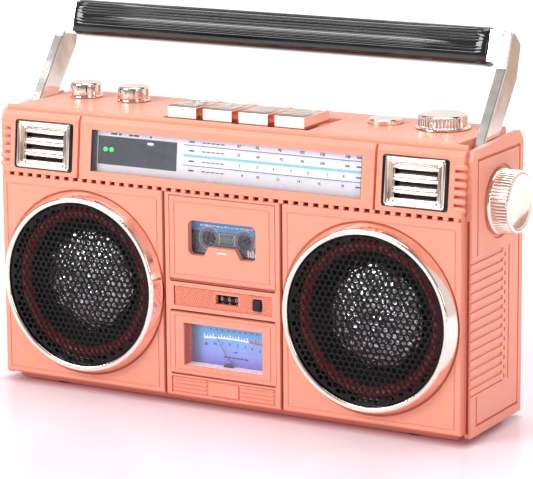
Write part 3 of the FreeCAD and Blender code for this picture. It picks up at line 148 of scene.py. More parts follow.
def satin_plastic(name, color):
    """Moulded plastic: faint flow marks, fine grain, small pits, and lighter rubbed edges."""
    s = Surface(name, Specular_IOR_Level=0.45, Coat_Weight=0.12, Coat_Roughness=0.25)
    s.rounded(0.35)
    rubbed = s.maths("MULTIPLY", s.edge_mask(), s.remap(s.noise(160), 0.45, 0.7))
    flow = s.remap(s.noise(14, 2.0), 0.3, 0.7)
    base = s.mix(flow, tone(color, 0.955), tone(color, 1.035))
    speck = s.remap(s.noise(2600, 1.0), 0.62, 0.72, 0.0, 0.35)
    base = s.mix(speck, base, tone(color, 0.88))
    s.to(s.mix(s.maths("MULTIPLY", rubbed, 0.55), base, tone(color, 1.18)), "Base Color")
    s.to(s.remap(s.noise(90, 4.0), 0.3, 0.7, 0.33, 0.45), "Roughness")
    s.bump(s.noise(1500, 2.0), 0.18, 0.05)
    s.bump(s.noise(60, 1.0), 0.10, 0.10)
    return s.material


# Painted dark reflection that plated parts show along their rounded edges.
EDGE_SHADE_TINT = (0.42, 0.27, 0.22)


def plated(name, color, rough=0.09, radius=0.25, edge=0.6):
    """Plated metal finish: faint waviness, hairlines, smudges and a painted dark reflection along its edges.
    """
    s = Surface(name, Metallic=1.0)
    s.rounded(radius)
    smudge = s.remap(s.noise(70, 5.0, 0.65), 0.42, 0.62)
    flat = s.mix(smudge, tone(color, 1.0), tone(color, 0.93))
    # Painted shade: edges darken towards EDGE_SHADE_TINT, by edge times the edge mask.
    s.to(s.mix(s.maths("MULTIPLY", s.edge_mask(), edge), flat, EDGE_SHADE_TINT), "Base Color")
    s.to(s.remap(s.noise(110, 5.0), 0.35, 0.65, rough - 0.03, rough + 0.06), "Roughness")
    hairs = s.noise(400, 2.0, 0.5, s.stretch((0.3, 1.0, 6.0)))
    s.bump(hairs, 0.036, 0.03)
    s.bump(s.noise(45, 1.0), 0.06, 0.4)
    return s.material


def dark_plastic(name, color, rough=0.2, radius=0.3, coat=0.35, gloss=0.5, grit=0.10):
    """Black or dark moulded plastic: cloudy depth, fine dust and a thin clear gloss."""
    s = Surface(name, Coat_Weight=coat, Coat_Roughness=0.08, Specular_IOR_Level=gloss)
    s.rounded(radius)
    s.to(s.mix(s.remap(s.noise(40, 4.0), 0.35, 0.65), tone(color, 0.7), tone(color, 1.5)), "Base Color")
    s.to(s.remap(s.noise(900, 2.0), 0.5, 0.7, rough - 0.04, rough + 0.1), "Roughness")
    s.bump(s.noise(700, 2.0), grit, 0.04 if grit < 0.2 else 0.16)
    return s.material


def bare_metal(name, color, rough=0.32):
    """Sheet or turned metal: brushing along one way, stains and small dents."""
    s = Surface(name, Metallic=1.0)
    s.rounded(0.2)
    brush = s.noise(300, 3.0, 0.6, s.stretch((0.08, 1.0, 5.0)))
    stain = s.remap(s.noise(35, 5.0), 0.4, 0.7)
    s.to(s.mix(stain, tone(color, 1.0), tone(color, 0.72)), "Base Color")
    s.to(s.remap(brush, 0.3, 0.7, rough - 0.1, rough + 0.14), "Roughness")
    s.bump(brush, 0.25, 0.05)
    return s.material


def rubber(name, color):
    """Matt rubber with a pebbled skin."""
    s = Surface(name, Specular_IOR_Level=0.3)
    s.rounded(0.3)
    s.to(s.mix(s.remap(s.noise(120, 4.0), 0.4, 0.65), tone(color, 0.8), tone(color, 1.9)), "Base Color")
    s.to(s.remap(s.noise(200, 3.0), 0.3, 0.7, 0.6, 0.85), "Roughness")
    s.bump(s.cells(1400), 0.25, 0.08)
    return s.material


def clear_pane(name, tint, alpha):
    """A thin clear pane with faint swirl marks."""
    s = Surface(name, Alpha=alpha, Specular_IOR_Level=0.6, Coat_Weight=0.3, Coat_Roughness=0.03)
    s.to(s.mix(s.noise(60, 4.0), tint, tone(tint, 0.9)), "Base Color")
    s.to(s.remap(s.noise(250, 5.0), 0.45, 0.75, 0.02, 0.12), "Roughness")
    s.bump(s.noise(30, 1.0), 0.04, 0.2)
    return s.material


def printed(name, color, rough=0.45, glow=0.0):
    """A printed or painted mark: slightly uneven ink."""
    s = Surface(name)
    if glow:
        s.shader.inputs["Emission Color"].default_value = (*color[:3], 1)
        s.shader.inputs["Emission Strength"].default_value = glow
    s.to(s.mix(s.remap(s.noise(1200, 2.0), 0.35, 0.7), tone(color, 0.82), tone(color, 1.1)), "Base Color")
    s.to(s.remap(s.noise(500, 2.0), 0.3, 0.7, rough - 0.08, rough + 0.1), "Roughness")
    s.bump(s.noise(2500, 1.0), 0.08, 0.02)
    return s.material


def height_gradient(name, low, high, stops, rough=0.35, glow=0.0, shaded=None):
    """A sheet whose colour changes between two heights, with fine print grain. shaded gives the two x places
    between which painted shade at its left end fades out."""
    s = Surface(name)
    up = s.add("ShaderNodeSeparateXYZ", {"Vector": s.place}).outputs["Z"]
    share = s.remap(up, low * MM, high * MM)
    wavering = s.maths("ADD", share, s.remap(s.noise(300, 3.0), 0.3, 0.7, -0.02, 0.02))
    gradient = s.add("ShaderNodeValToRGB", {"Fac": wavering})
    ramp = gradient.color_ramp
    shade = gradient.outputs["Color"]
    while len(ramp.elements) < len(stops):
        ramp.elements.new(0.5)
    for element, (spot, color) in zip(ramp.elements, stops):
        element.position = spot
        element.color = (*color, 1)
    if shaded:
        # Painted shade: the left end darkens to a dark navy.
        along = s.add("ShaderNodeSeparateXYZ", {"Vector": s.place}).outputs["X"]
        shade = s.mix(s.remap(along, shaded[0] * MM, shaded[1] * MM), (0.035, 0.05, 0.09), shade)
    s.to(shade, "Base Color")
    if glow:
        s.to(shade, "Emission Color")
        s.shader.inputs["Emission Strength"].default_value = glow
    s.to(s.remap(s.noise(200, 3.0), 0.3, 0.7, rough - 0.06, rough + 0.08), "Roughness")
    s.bump(s.noise(1800, 1.0), 0.06, 0.02)
    return s.material


CORAL = (0.92, 0.335, 0.232)
ROSE = (0.97, 0.80, 0.72)

PINK = satin_plastic("pink_satin", CORAL)
CHROME = plated("rose_plating", ROSE)
BLACK = dark_plastic("black_gloss", (0.006, 0.0055, 0.006), rough=0.16, coat=0.1, gloss=0.35)
MESH_BLACK = dark_plastic("mesh_paint", (0.006, 0.0055, 0.006), rough=0.10, radius=0.16, coat=0.0,
                          gloss=0.16, grit=0.45)
# edge sets how strongly each plating darkens its edges with painted reflection.
KNURL = plated("knob_plating", ROSE, radius=0.05, edge=0.4)
ARM_PLATE = plated("arm_plating", (1.0, 0.93, 0.89), rough=0.16, radius=0.12, edge=0.6)
KEY_BED = dark_plastic("key_bed", (0.09, 0.085, 0.085), rough=0.5, radius=0.05, coat=0.0, gloss=0.25)
# Painted shade for the seams, gaps and recess edges between the mouldings.
DARK_SEAM_SHADE = dark_plastic("seam_shade", (0.105, 0.012, 0.010), rough=0.6, radius=0.05, coat=0.0, gloss=0.1)
SOFT_SEAM_SHADE = printed("soft_seam", (0.40, 0.07, 0.042), rough=0.6)
SILVER_PLATE = height_gradient("dial_silver", 98, 121, (
    (0.0, (0.38, 0.38, 0.42)), (0.12, (0.62, 0.63, 0.68)), (0.38, (0.80, 0.82, 0.90)),
    (0.7, (0.78, 0.83, 0.95)), (1.0, (0.86, 0.88, 0.97))), rough=0.3)
STEEL = bare_metal("steel", (0.55, 0.56, 0.58))
BRASS = bare_metal("brass", (0.78, 0.58, 0.30), rough=0.25)
RUBBER = rubber("rubber", (0.02, 0.02, 0.021))
GREEN_GLOW = printed("green_light", (0.03, 0.85, 0.08), glow=1.1)
SMOKE = dark_plastic("smoke_plastic", (0.035, 0.034, 0.045), rough=0.18, coat=0.4)
CONE = dark_plastic("cone_paper", (0.012, 0.011, 0.012), rough=0.6, coat=0.0, gloss=0.2)
NEEDLE = printed("needle_red", (0.35, 0.02, 0.03))
CELL = dark_plastic("cell_wrap", (0.05, 0.10, 0.22), rough=0.3)
BOARD = dark_plastic("board_green", (0.02, 0.16, 0.07), rough=0.35)
PANE = clear_pane("clear_pane", (0.9, 0.94, 1.0), 0.045)
# Painted shade at the face's left end, and a painted glow over the whole face.
METER_BLUE_PAINTED_LIGHT = height_gradient("meter_blue", 18.5, 37.4, (
    (0.0, (0.13, 0.12, 0.50)), (0.3, (0.20, 0.26, 0.66)), (0.65, (0.13, 0.35, 0.74)),
    (1.0, (0.05, 0.40, 0.74))), glow=0.3, shaded=(-20.5, -13.5))

FINISH = {
    "pink_plastic": PINK, "rose_chrome": CHROME, "black_plastic": BLACK, "black_mesh": MESH_BLACK,
    "clear_plastic": PANE, "dial_silver": SILVER_PLATE, "rubber": RUBBER, "steel": STEEL, "brass": BRASS,
    "board_green": BOARD, "cell_wrap": CELL, "green_light": GREEN_GLOW, "meter_blue": METER_BLUE_PAINTED_LIGHT,
    "needle_red": NEEDLE, "smoke_plastic": SMOKE, "cone_paper": CONE,
}
slot_of = {part["node"]: part["material_slot"] for part in frame["record"]["subparts"]}
OWN_FINISH = {"left_handle_arm": ARM_PLATE, "right_handle_arm": ARM_PLATE}
for name, item in frame["nodes"].items():
    item.data.materials.clear()
    item.data.materials.append(OWN_FINISH.get(name, FINISH[slot_of[name]]))


# ---------------------------------------------------------------- mesh helpers

def around(count):
    """Evenly spread angles round a full turn."""
    return [2 * math.pi * step / count for step in range(count)]


def rectangle(left, right, low, high):
    """The corners of a rectangle, in order round it."""
    return (left, low), (right, low), (right, high), (left, high)


def skin(rings, count, flipped=False):
    """Faces that join rings of points, each with the same count."""
    faces = []
    for ring in range(rings - 1):
        near, far = ring * count, (ring + 1) * count
        for step in range(count):
            after = (step + 1) % count
            face = (near + step, near + after, far + after, far + step)
            faces.append(face[:1] + face[:0:-1] if flipped else face)
    return faces


SQUARE = rectangle(-1, 1, -1, 1)
BLOCK_FACES = [(0, 3, 2, 1), (4, 5, 6, 7), (0, 1, 5, 4), (1, 2, 6, 5), (2, 3, 7, 6), (3, 0, 4, 7)]

def piece(name, points, faces, material, body, slot, smooth=False):
    """A mesh from points in millimetres, riding on a body."""
    mesh = bpy.data.meshes.new(name)
    mesh.from_pydata([tuple(Vector(p) * MM) for p in points], [], faces)
    mesh.validate()
    mesh.update()
    for face in mesh.polygons:
        face.use_smooth = smooth
    item = bpy.data.objects.new(name, mesh)
    bpy.context.scene.collection.objects.link(item)
    item.data.materials.append(material)
    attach(item, body)
    return item


class Build:
    """Collects points and faces of many small solids into one mesh."""

    def __init__(self):
        self.points = []
        self.faces = []

    def add(self, points, faces):
        first = len(self.points)
        self.points.extend(Vector(p) for p in points)
        self.faces.extend([tuple(first + index for index in face) for face in faces])

    def slab(self, corners, shift):
        """A flat polygon given a thickness."""
        count = len(corners)
        back = [Vector(p) + Vector(shift) for p in corners]
        faces = [tuple(range(count)), tuple(range(2 * count - 1, count - 1, -1))]
        for index in range(count):
            after = (index + 1) % count
            faces.append((index, count + index, count + after, after))
        self.add(list(corners) + back, faces)

    def piece(self, name, *finish, **options):
        """What was collected, as one piece."""
        return piece(name, self.points, self.faces, *finish, **options)


def raised(build, at, x, z, half_x, half_z, thick=0.08):
    """A thin plate on a surface, where at(x, depth, z) is a point of it."""
    outline = rectangle(x - half_x, x + half_x, z - half_z, z + half_z)
    corners = [at(across, -thick, up) for across, up in outline]
    build.slab(corners, at(x, 0, z) - at(x, -thick, z))


def lettering(build, text, at, x, z, size, thick=0.08):
    """Figures standing on a surface, centred on (x, z)."""
    curve = bpy.data.curves.new("figures", "FONT")
    curve.body = text
    curve.size = size
    curve.extrude = thick / 2
    curve.offset = size * 0.022
    curve.align_x = "CENTER"
    curve.align_y = "CENTER"
    curve.resolution_u = 3
    item = bpy.data.objects.new("figures", curve)
    bpy.context.scene.collection.objects.link(item)
    mesh = item.evaluated_get(bpy.context.evaluated_depsgraph_get()).to_mesh()
    points = [at(x + v.co.x, -thick / 2 - v.co.z, z + v.co.y) for v in mesh.vertices]
    build.add(points, [tuple(face.vertices) for face in mesh.polygons])
    bpy.data.objects.remove(item)
    bpy.data.curves.remove(curve)


# ---------------------------------------------------------------- speakers

PITCH = 2.8
ROW_STEP = PITCH * 0.8660254
HOLE = 1.10
GRILLE_R = 36.2
PLAIN_RIM = 1.4
SPOKES = 12
SHEET_Y = -31.5
SHEET_DOME = 1.0
SHEET_THICK = 0.6
HOLE_EDGE = 0.16
SURROUND_THICK = 0.4
PAPER_THICK = 0.5
FOIL_THICK = 0.3
CRINKLE = 0.3
TURN_STEPS = 96
FOIL_STEPS = 84


def grille_mesh(side, name):
    """The domed perforated sheet in front of a speaker."""
    points, faces, index_of = [], [], {}

    def corner(x, z):
        reach = math.hypot(x, z)
        if reach > GRILLE_R:
            x, z = x * GRILLE_R / reach, z * GRILLE_R / reach
        key = (round(x, 3), round(z, 3))
        if key not in index_of:
            index_of[key] = len(points)
            points.append((x, z))
        return index_of[key]

    def cell(x, z):
        """One hexagon of sheet round a hole, or a plain one at the rim."""
        rim = []
        for spoke, angle in enumerate(around(SPOKES)):
            far = PITCH / 2 if spoke % 2 == 0 else PITCH / math.sqrt(3)
            rim.append(corner(x + far * math.cos(angle), z + far * math.sin(angle)))
        if math.hypot(x, z) > GRILLE_R - PLAIN_RIM:
            clean = [index for number, index in enumerate(rim) if index != rim[number - 1]]
            if len(set(clean)) > 2:
                faces.append(tuple(dict.fromkeys(clean)))
            return
        first = len(points)
        for angle in around(SPOKES):
            points.append((x + HOLE * math.cos(angle), z + HOLE * math.sin(angle)))
        for spoke in range(SPOKES):
            after = (spoke + 1) % SPOKES
            faces.append((rim[spoke], rim[after], first + after, first + spoke))

    rows = int(GRILLE_R / ROW_STEP) + 1
    for row in range(-rows, rows + 1):
        for column in range(-rows - 2, rows + 3):
            x = PITCH * (column + 0.5 * (row % 2))
            z = ROW_STEP * row
            if math.hypot(x, z) - PITCH * 0.56 <= GRILLE_R:
                cell(x, z)
    placed = []
    for x, z in points:
        share = (x * x + z * z) / GRILLE_R ** 2
        placed.append((side * SPEAKER_X + x, SHEET_Y + SHEET_DOME * share, SPEAKER_Z + z))
    item = piece(name + "_grille_sheet", placed, faces, MESH_BLACK, "cabinet", "black_mesh", smooth=True)
    thick = item.modifiers.new("thickness", "SOLIDIFY")
    thick.thickness = SHEET_THICK * MM
    thick.offset = 0
    thick.use_even_offset = False
    round_off = item.modifiers.new("round", "BEVEL")
    round_off.width = HOLE_EDGE * MM
    round_off.segments = 2
    round_off.limit_method = "ANGLE"
    round_off.angle_limit = math.radians(50)
    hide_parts(name + "_speaker_grille")


def revolve(profile, centre, steps, wobble=None):
    """A surface turned about a speaker's axis from (radius, y) pairs; wobble() moves each point in y."""
    points = []
    for radius, y in profile:
        for angle in around(steps):
            extra = wobble() if wobble else 0.0
            dx, dz = radius * math.cos(angle), radius * math.sin(angle)
            points.append((centre + dx, y + extra, SPEAKER_Z + dz))
    return points, skin(len(profile), steps, flipped=True)


def arc(start, end, sag, steps=8):
    """Points from start to end that bulge by sag in y."""
    found = []
    for step in range(steps + 1):
        share = step / steps
        found.append((start[0] + (end[0] - start[0]) * share,
                      start[1] + (end[1] - start[1]) * share + sag * math.sin(math.pi * share)))
    return found


def foil_material():
    """Crinkled silver foil."""
    s = Surface("foil", Metallic=1.0)
    s.to(s.mix(s.noise(300, 3.0), (0.85, 0.85, 0.88), (0.32, 0.32, 0.35)), "Base Color")
    s.to(s.remap(s.noise(400), 0.3, 0.7, 0.05, 0.22), "Roughness")
    s.bump(s.cells(420), 0.9, 0.8)
    return s.material


# The red surround carries a painted glow, so it shows through the grille holes.
SURROUND_PAINTED_GLOW = printed("red_surround", (0.26, 0.022, 0.028), rough=0.3, glow=0.16)
FOIL = foil_material()

# Speaker profiles as (radius, y)
SURROUND_PROFILE = [(33.6, -25.0)] + arc((33.2, -26.6), (29.9, -26.6), -1.6) + [(28.9, -25.4)]
PAPER_PROFILE = [(29.0, -25.6), (28.2, -25.0), (26.6, -23.2), (25, -21.6), (23.4, -20.2), (21.8, -19.2)]
SHADE_RING_PROFILE = [(33.5, -26.4), (33.7, -27.1), (36.3, -28.0), (36.4, -27.2)]
DOME_PROFILE = [(22.6, -20.6), (22.2, -22.0), (20.6, -23.4), (18.6, -24.7), (16.4, -25.8), (14, -26.7),
                (11.5, -27.4), (9, -27.9), (6.6, -28.25), (4.2, -28.45), (2, -28.55), (0.3, -28.6)]


def cone_pieces(side, name):
    """Flexible surround, paper cone, a black ring of painted shade round the speaker ring, and crinkled dome
    behind a grille.
    """
    centre = side * SPEAKER_X

    def turned(part, profile, material, slot, thick=None):
        surface = revolve(profile, centre, TURN_STEPS)
        item = piece(name + part, *surface, material, "cabinet", slot, smooth=True)
        if thick:
            item.modifiers.new("thickness", "SOLIDIFY").thickness = thick * MM
        return item

    item = turned("_surround", SURROUND_PROFILE, SURROUND_PAINTED_GLOW, "cone_paper", SURROUND_THICK)
    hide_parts(name + "_speaker_cone")
    turned("_paper", PAPER_PROFILE, CONE, "cone_paper", PAPER_THICK)
    # A black ring stands in for the shade in the gap round the speaker ring.
    turned("_gasket", SHADE_RING_PROFILE, BLACK, "black_plastic")
    chance = random.Random(11 + side)
    crinkled = revolve(DOME_PROFILE, centre, FOIL_STEPS, lambda: chance.uniform(-CRINKLE, CRINKLE))
    dome = piece(name + "_dome", *crinkled, FOIL, "cabinet", "steel")
    dome.modifiers.new("thickness", "SOLIDIFY").thickness = FOIL_THICK * MM


for side, name in SIDES:
    grille_mesh(side, name)
    cone_pieces(side, name)


# ---------------------------------------------------------------- dial print

PLATE_DEPTH = 3.3


def on_plate(x, depth, up):
    return on_band(x, PLATE_DEPTH + depth, up)


INK = printed("dial_ink", (0.035, 0.035, 0.05))
DISPLAY = dark_plastic("display", (0.026, 0.029, 0.041), rough=0.3, radius=0.05, coat=0.1, gloss=0.3)
CYAN = printed("cyan_band", (0.24, 0.62, 0.74))
WHITE_GLOW = printed("white_light", (0.75, 0.88, 1.0), glow=1.0)
WHITE_INK = printed("white_ink", (0.85, 0.84, 0.84))
GREY_INK = printed("grey_ink", (0.38, 0.38, 0.40))

DISPLAY_X, DISPLAY_UP = -44.75, 14.15
DISPLAY_HALF_LONG, DISPLAY_HALF_HIGH = 20.05, 6.2
DISPLAY_THICK = 0.14
SCALE_X, SCALE_HALF = 22.6, 43.9
RULE_UPS = (19.75, 11.0)
RULE_HALF = 0.14
CYAN_UP, CYAN_HALF = 15.25, 0.55
BAND_NAME_X, UNIT_X = -17.3, 63.6
DASH_FIRST_X, DASH_STEP = -11.2, 2.3
TICK_FIRST_X, TICK_STEP = 4.6, 1.28
TICK_DROP = 0.5
HEADING_UP = 21.5
HEADINGS = ((-56.8, 1.6), (-53.7, 0.7), (-48.2, 1.0), (-45.4, 1.3), (-38.0, 0.5))

# Each scale: height up the band, figure size, figures, their places
SCALES = (
    (21.25, 1.75, ("87", "92", "96", "102", "106", "108"), (6, 14.9, 25.8, 36.4, 46.2, 58.0)),
    (17.45, 1.6, ("52", "60", "70", "90", "120", "160"), (6, 15.4, 26.6, 36.8, 46.2, 58.0)),
    (12.95, 1.6, ("2", "3", "4", "5", "6", "7", "8"), (6.5, 15.2, 23.0, 31.6, 39.8, 49.0, 56.6)),
    (8.9, 1.6, ("8", "10", "12", "14", "16", "18"), (8.0, 15.6, 25.4, 35.4, 45.2, 56.2)),
)

build = Build()
raised(build, on_plate, DISPLAY_X, DISPLAY_UP, DISPLAY_HALF_LONG, DISPLAY_HALF_HIGH, DISPLAY_THICK)
build.piece("display_strip", DISPLAY, "cabinet", "black_plastic")

build = Build()
for up in RULE_UPS:
    raised(build, on_plate, SCALE_X, up, SCALE_HALF, RULE_HALF)
for up, size, figures, places in SCALES:
    for text, x in zip(figures, places):
        lettering(build, text, on_plate, x, up, size)
    raised(build, on_plate, BAND_NAME_X, up, 1.3, 0.32)
    for number in range(5):
        raised(build, on_plate, DASH_FIRST_X + DASH_STEP * number, up, 0.85, 0.22)
    raised(build, on_plate, UNIT_X, up, 1.2, 0.3)
for x, half_long in HEADINGS:
    raised(build, on_plate, x, HEADING_UP, half_long, 0.4)
for number in range(44):
    half_high = 0.36 if number % 4 == 0 else 0.2
    for up in RULE_UPS:
        raised(build, on_plate, TICK_FIRST_X + number * TICK_STEP, up - TICK_DROP, 0.06, half_high)
build.piece("dial_figures", INK, "cabinet", "black_plastic")

build = Build()
raised(build, on_plate, SCALE_X, CYAN_UP, SCALE_HALF, CYAN_HALF)
build.piece("dial_band", CYAN, "cabinet", "meter_blue")

LAMP_XS = (-60.8, -57.7)
LAMP_UP = 14.6
LAMP_R = 0.95
LAMP_HIGH = 0.55
build = Build()
for x in LAMP_XS:
    disc = [on_plate(x + LAMP_R * math.cos(angle), -LAMP_HIGH, LAMP_UP + LAMP_R * math.sin(angle))
            for angle in around(20)]
    build.slab(disc, inwards(on_plate, LAMP_HIGH))
lamps = build.piece("green_lamps", GREEN_GLOW, "cabinet", "green_light")
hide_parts("indicator_lights")

OPENING_END = 66.35
OPENING_LOW, OPENING_HIGH = 4.7, 22.8
END_THICK = 0.12
SHADE = rectangle(-66.4, -65.3, 4.75, OPENING_HIGH)
SHADE_DEPTH = 3.2
build = Build()
for side, name in SIDES:
    end = [on_band(side * OPENING_END, depth, up) for depth, up in
           rectangle(0.2, 3.25, OPENING_LOW, OPENING_HIGH)]
    build.slab(end, (-side * END_THICK, 0, 0))
build.slab([on_band(x, SHADE_DEPTH, up) for x, up in SHADE], inwards(on_band, 0.07))
build.piece("dial_end_shade", INK, "cabinet", "black_plastic")

GLINT_X, GLINT_UP = -38.0, 18.6
GLINT_LONG, GLINT_HIGH = 1.5, 0.55
build = Build()
star = []
for number, angle in enumerate(around(16)):
    reach = 1.5 if number % 2 == 0 else 0.55
    star.append(on_plate(GLINT_X + GLINT_LONG * reach * math.cos(angle), -0.3,
                         GLINT_UP + GLINT_HIGH * reach * math.sin(angle)))
build.slab(star, inwards(on_plate, 0.1))
build.piece("lamp_glint", WHITE_GLOW, "cabinet", "clear_plastic")


# ---------------------------------------------------------------- meter print

METER_Y = -20.2
METER_LOW, METER_HIGH = 18.5, 37.4
METER_HALF = 19.55
METER_FRONT_Y = -26.2
METER_BACK_Y = -20.5
PANE_Y = -24.9
PANE_THICK = 0.6


def on_meter(x, depth, z):
    return Vector((x, METER_Y + depth, z))


SCALE_R = 140.0
SCALE_TOP = 30.7
MARK_FIRST_X, MARK_STEP = -13.2, 0.475
LAST_WHITE = 46
FIGURES = (("20", -12.5), ("10", -8.0), ("7", -4.2), ("5", -0.6),
           ("3", 3.4), ("1", 7.2), ("0", 10.6), ("3", 14.4))
build = Build()
red = Build()
fine = Build()
for number in range(64):
    x = MARK_FIRST_X + number * MARK_STEP
    z = SCALE_TOP - SCALE_R + math.sqrt(SCALE_R ** 2 - x * x)
    target = red if number > LAST_WHITE else build
    raised(target, on_meter, x, z, 0.245, 0.3)
    if number % 9 == 0:
        raised(target, on_meter, x, z + 0.95, 0.15, 0.8)
    elif number % 3 == 0:
        raised(target, on_meter, x, z + 0.65, 0.15, 0.5)
for text, x in FIGURES:
    lettering(fine, text, on_meter, x, 28.2 - 0.006 * x * x, 1.6)
for number in range(9):
    raised(fine, on_meter, -10.0 + number * 2.9, 34.2, 0.5, 0.2)
raised(fine, on_meter, 2.4, 24.9, 0.9, 0.25)
for number in range(6):
    raised(fine, on_meter, -2.8 + number * 2.1, 22.4, 0.8, 0.28)
# The scale's white marks carry a painted glow.
SCALE_WHITE_PAINTED_GLOW = printed("scale_white", (0.9, 0.93, 1.0), glow=0.35)
RED_INK = printed("red_ink", (0.75, 0.05, 0.06))
build.piece("meter_scale", SCALE_WHITE_PAINTED_GLOW, "cabinet", "dial_silver")
red.piece("meter_red_end", RED_INK, "cabinet", "needle_red")
fine.piece("meter_figures", INK, "cabinet", "black_plastic")

COVER_HALF, COVER_HIGH = 2.5, 1.7
COVER_FRONT = -2.4
build = Build()
cover = []
for step in range(17):
    angle = math.pi * step / 16
    reach, rise = COVER_HALF * math.cos(angle), COVER_HIGH * math.sin(angle)
    cover.append(on_meter(reach, COVER_FRONT, METER_LOW + rise))
build.slab(cover, (0, 0.4, 0))

NEEDLE_LEAN = math.radians(32)
NEEDLE_TAIL, NEEDLE_LONG = 1.9, 13.6
NEEDLE_FOOT_HALF, NEEDLE_TIP_HALF = 0.22, 0.1
PIVOT = Vector((0, -21.45, 20.6))
across = Vector((math.cos(NEEDLE_LEAN), 0, math.sin(NEEDLE_LEAN)))
along = Vector((-math.sin(NEEDLE_LEAN), 0, math.cos(NEEDLE_LEAN)))
foot = PIVOT - NEEDLE_TAIL * along
tip = PIVOT + NEEDLE_LONG * along
needle = Build()
needle.slab([foot - NEEDLE_FOOT_HALF * across, foot + NEEDLE_FOOT_HALF * across,
             tip + NEEDLE_TIP_HALF * across, tip - NEEDLE_TIP_HALF * across], (0, 0.1, 0))
item = needle.piece("needle_blade", NEEDLE, "needle", "needle_red")
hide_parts("meter_needle")
build.piece("meter_pivot_cover", INK, "cabinet", "black_plastic")

# Painted highlight: a pale, glowing sheet on the meter recess's lower ledge, for the light that falls on it.
LEDGE_PAINTED_HIGHLIGHT = printed("ledge_light", (0.98, 0.72, 0.66), rough=0.3, glow=0.22)
WALL_SHADE = printed("wall_shade", (0.74, 0.155, 0.085), rough=0.5)
LINING = 0.06
GAP = 0.05
LEDGE = rectangle(GAP - METER_HALF, METER_HALF - GAP, METER_FRONT_Y, METER_BACK_Y)
build = Build()
build.slab([Vector((x, y, METER_LOW - GAP)) for x, y in LEDGE], (0, 0, LINING))
build.piece("meter_ledge", LEDGE_PAINTED_HIGHLIGHT, "cabinet", "pink_plastic")

WALL = rectangle(METER_FRONT_Y, METER_BACK_Y, METER_LOW + GAP, METER_HIGH - 2 * GAP)
build = Build()
build.slab([Vector((-METER_HALF, y, z)) for y, z in WALL], (LINING, 0, 0))
build.piece("meter_wall", WALL_SHADE, "cabinet", "pink_plastic")

GLASS = rectangle(-METER_HALF, METER_HALF, METER_LOW + GAP, METER_HIGH - GAP)
build = Build()
build.slab([Vector((x, PANE_Y, z)) for x, z in GLASS], (0, PANE_THICK, 0))
build.piece("meter_pane", PANE, "cabinet", "clear_plastic")


# ---------------------------------------------------------------- cassette label, tab mark

CASSETTE_Y = -22.6
HUB_Z = 75
HUB_SPREAD = 8.8


def on_cassette(x, depth, z):
    return Vector((x, CASSETTE_Y + depth, z))


def flat_ring(build, x, inner, outer, thick):
    """A thin ring round a hub of the cassette."""
    angles = around(40)
    for angle, after in zip(angles, angles[1:] + [2 * math.pi]):
        corners = [on_cassette(x + reach * math.cos(turn), -thick, HUB_Z + reach * math.sin(turn))
                   for reach, turn in ((inner, angle), (outer, angle), (outer, after), (inner, after))]
        build.slab(corners, (0, thick, 0))


# The cassette label carries a painted glow.
LABEL_BLUE_PAINTED_GLOW = height_gradient("label_blue", 75, 87, (
    (0.0, (0.03, 0.08, 0.20)), (0.3, (0.03, 0.16, 0.42)), (0.6, (0.04, 0.30, 0.66)),
    (1.0, (0.06, 0.40, 0.80))), glow=0.12)
LABEL_GREY = printed("label_grey", (0.09, 0.09, 0.12), rough=0.3)
LABEL_LINE = printed("label_line", (0.30, 0.36, 0.46), rough=0.3)
LABEL_OUTLINE = ((-21, 78.2), (21, 78.2), (22, 79.4), (22, 86.6),
                 (21, 87.6), (-21, 87.6), (-22, 86.6), (-22, 79.4))
PRINT = 0.12

build = Build()
build.slab([on_cassette(x, -PRINT, z) for x, z in LABEL_OUTLINE], (0, PRINT, 0))
build.piece("cassette_label", LABEL_BLUE_PAINTED_GLOW, "door", "meter_blue")

build = Build()
lines = Build()
for hub_x in (-HUB_SPREAD, HUB_SPREAD):
    flat_ring(build, hub_x, 3.45, 4.6, 0.16)
    flat_ring(lines, hub_x, 4.9, 5.2, 0.14)
for x in (-3.6, 3.6):
    raised(lines, on_cassette, x, HUB_Z, 0.14, 2.6, PRINT)
for z in (72.4, 77.6):
    raised(lines, on_cassette, 0, z, 3.74, 0.12, PRINT)
for number in range(5):
    raised(lines, on_cassette, -2.6 + 1.3 * number, HUB_Z, 0.08, 1.0 + 0.4 * (number % 2), PRINT)
for z in (65.5, 69.0):
    raised(lines, on_cassette, 0, z, 16, 0.12, PRINT)
build.piece("hub_collars", LABEL_GREY, "door", "smoke_plastic")
lines.piece("cassette_lines", LABEL_LINE, "door", "dial_silver")

STROKE_Z = 80.6
STROKE_END_X = 12.5
STROKE_GAP = 0.5
MARK_THICK = 0.2
build = Build()
chance = random.Random(5)
x = -13.2
while x < STROKE_END_X:
    half_long = chance.uniform(0.35, 1.1)
    lift = chance.uniform(-0.12, 0.12)
    half_high = chance.uniform(0.16, 0.4)
    raised(build, on_cassette, x + half_long, STROKE_Z + lift, half_long, half_high, MARK_THICK)
    x += 2 * half_long + STROKE_GAP
for number, high in enumerate((1.5, 1.1, 1.5, 0.8, 1.3)):
    raised(build, on_cassette, 10.6 + 1.15 * number, 69.2 + high / 2, 0.36, high, MARK_THICK)
build.piece("cassette_marks", WHITE_INK, "door", "dial_silver")


def on_door(x, depth, z):
    return Vector((x, FRONT_Y + depth, z))


MARK_Z = 69.9
MARK_OUTLINE = ((-2.6, 0), (-2.2, 0.42), (-0.6, 0.5), (0.6, 0.5),
                (2.2, 0.42), (2.6, 0), (2.2, -0.3), (-2.2, -0.3))
build = Build()
build.slab([on_door(x, -0.1, MARK_Z + z) for x, z in MARK_OUTLINE], (0, 0.12, 0))
build.piece("tab_mark", WHITE_INK, "door", "dial_silver")


# ---------------------------------------------------------------- painted shade in the seams between the mouldings

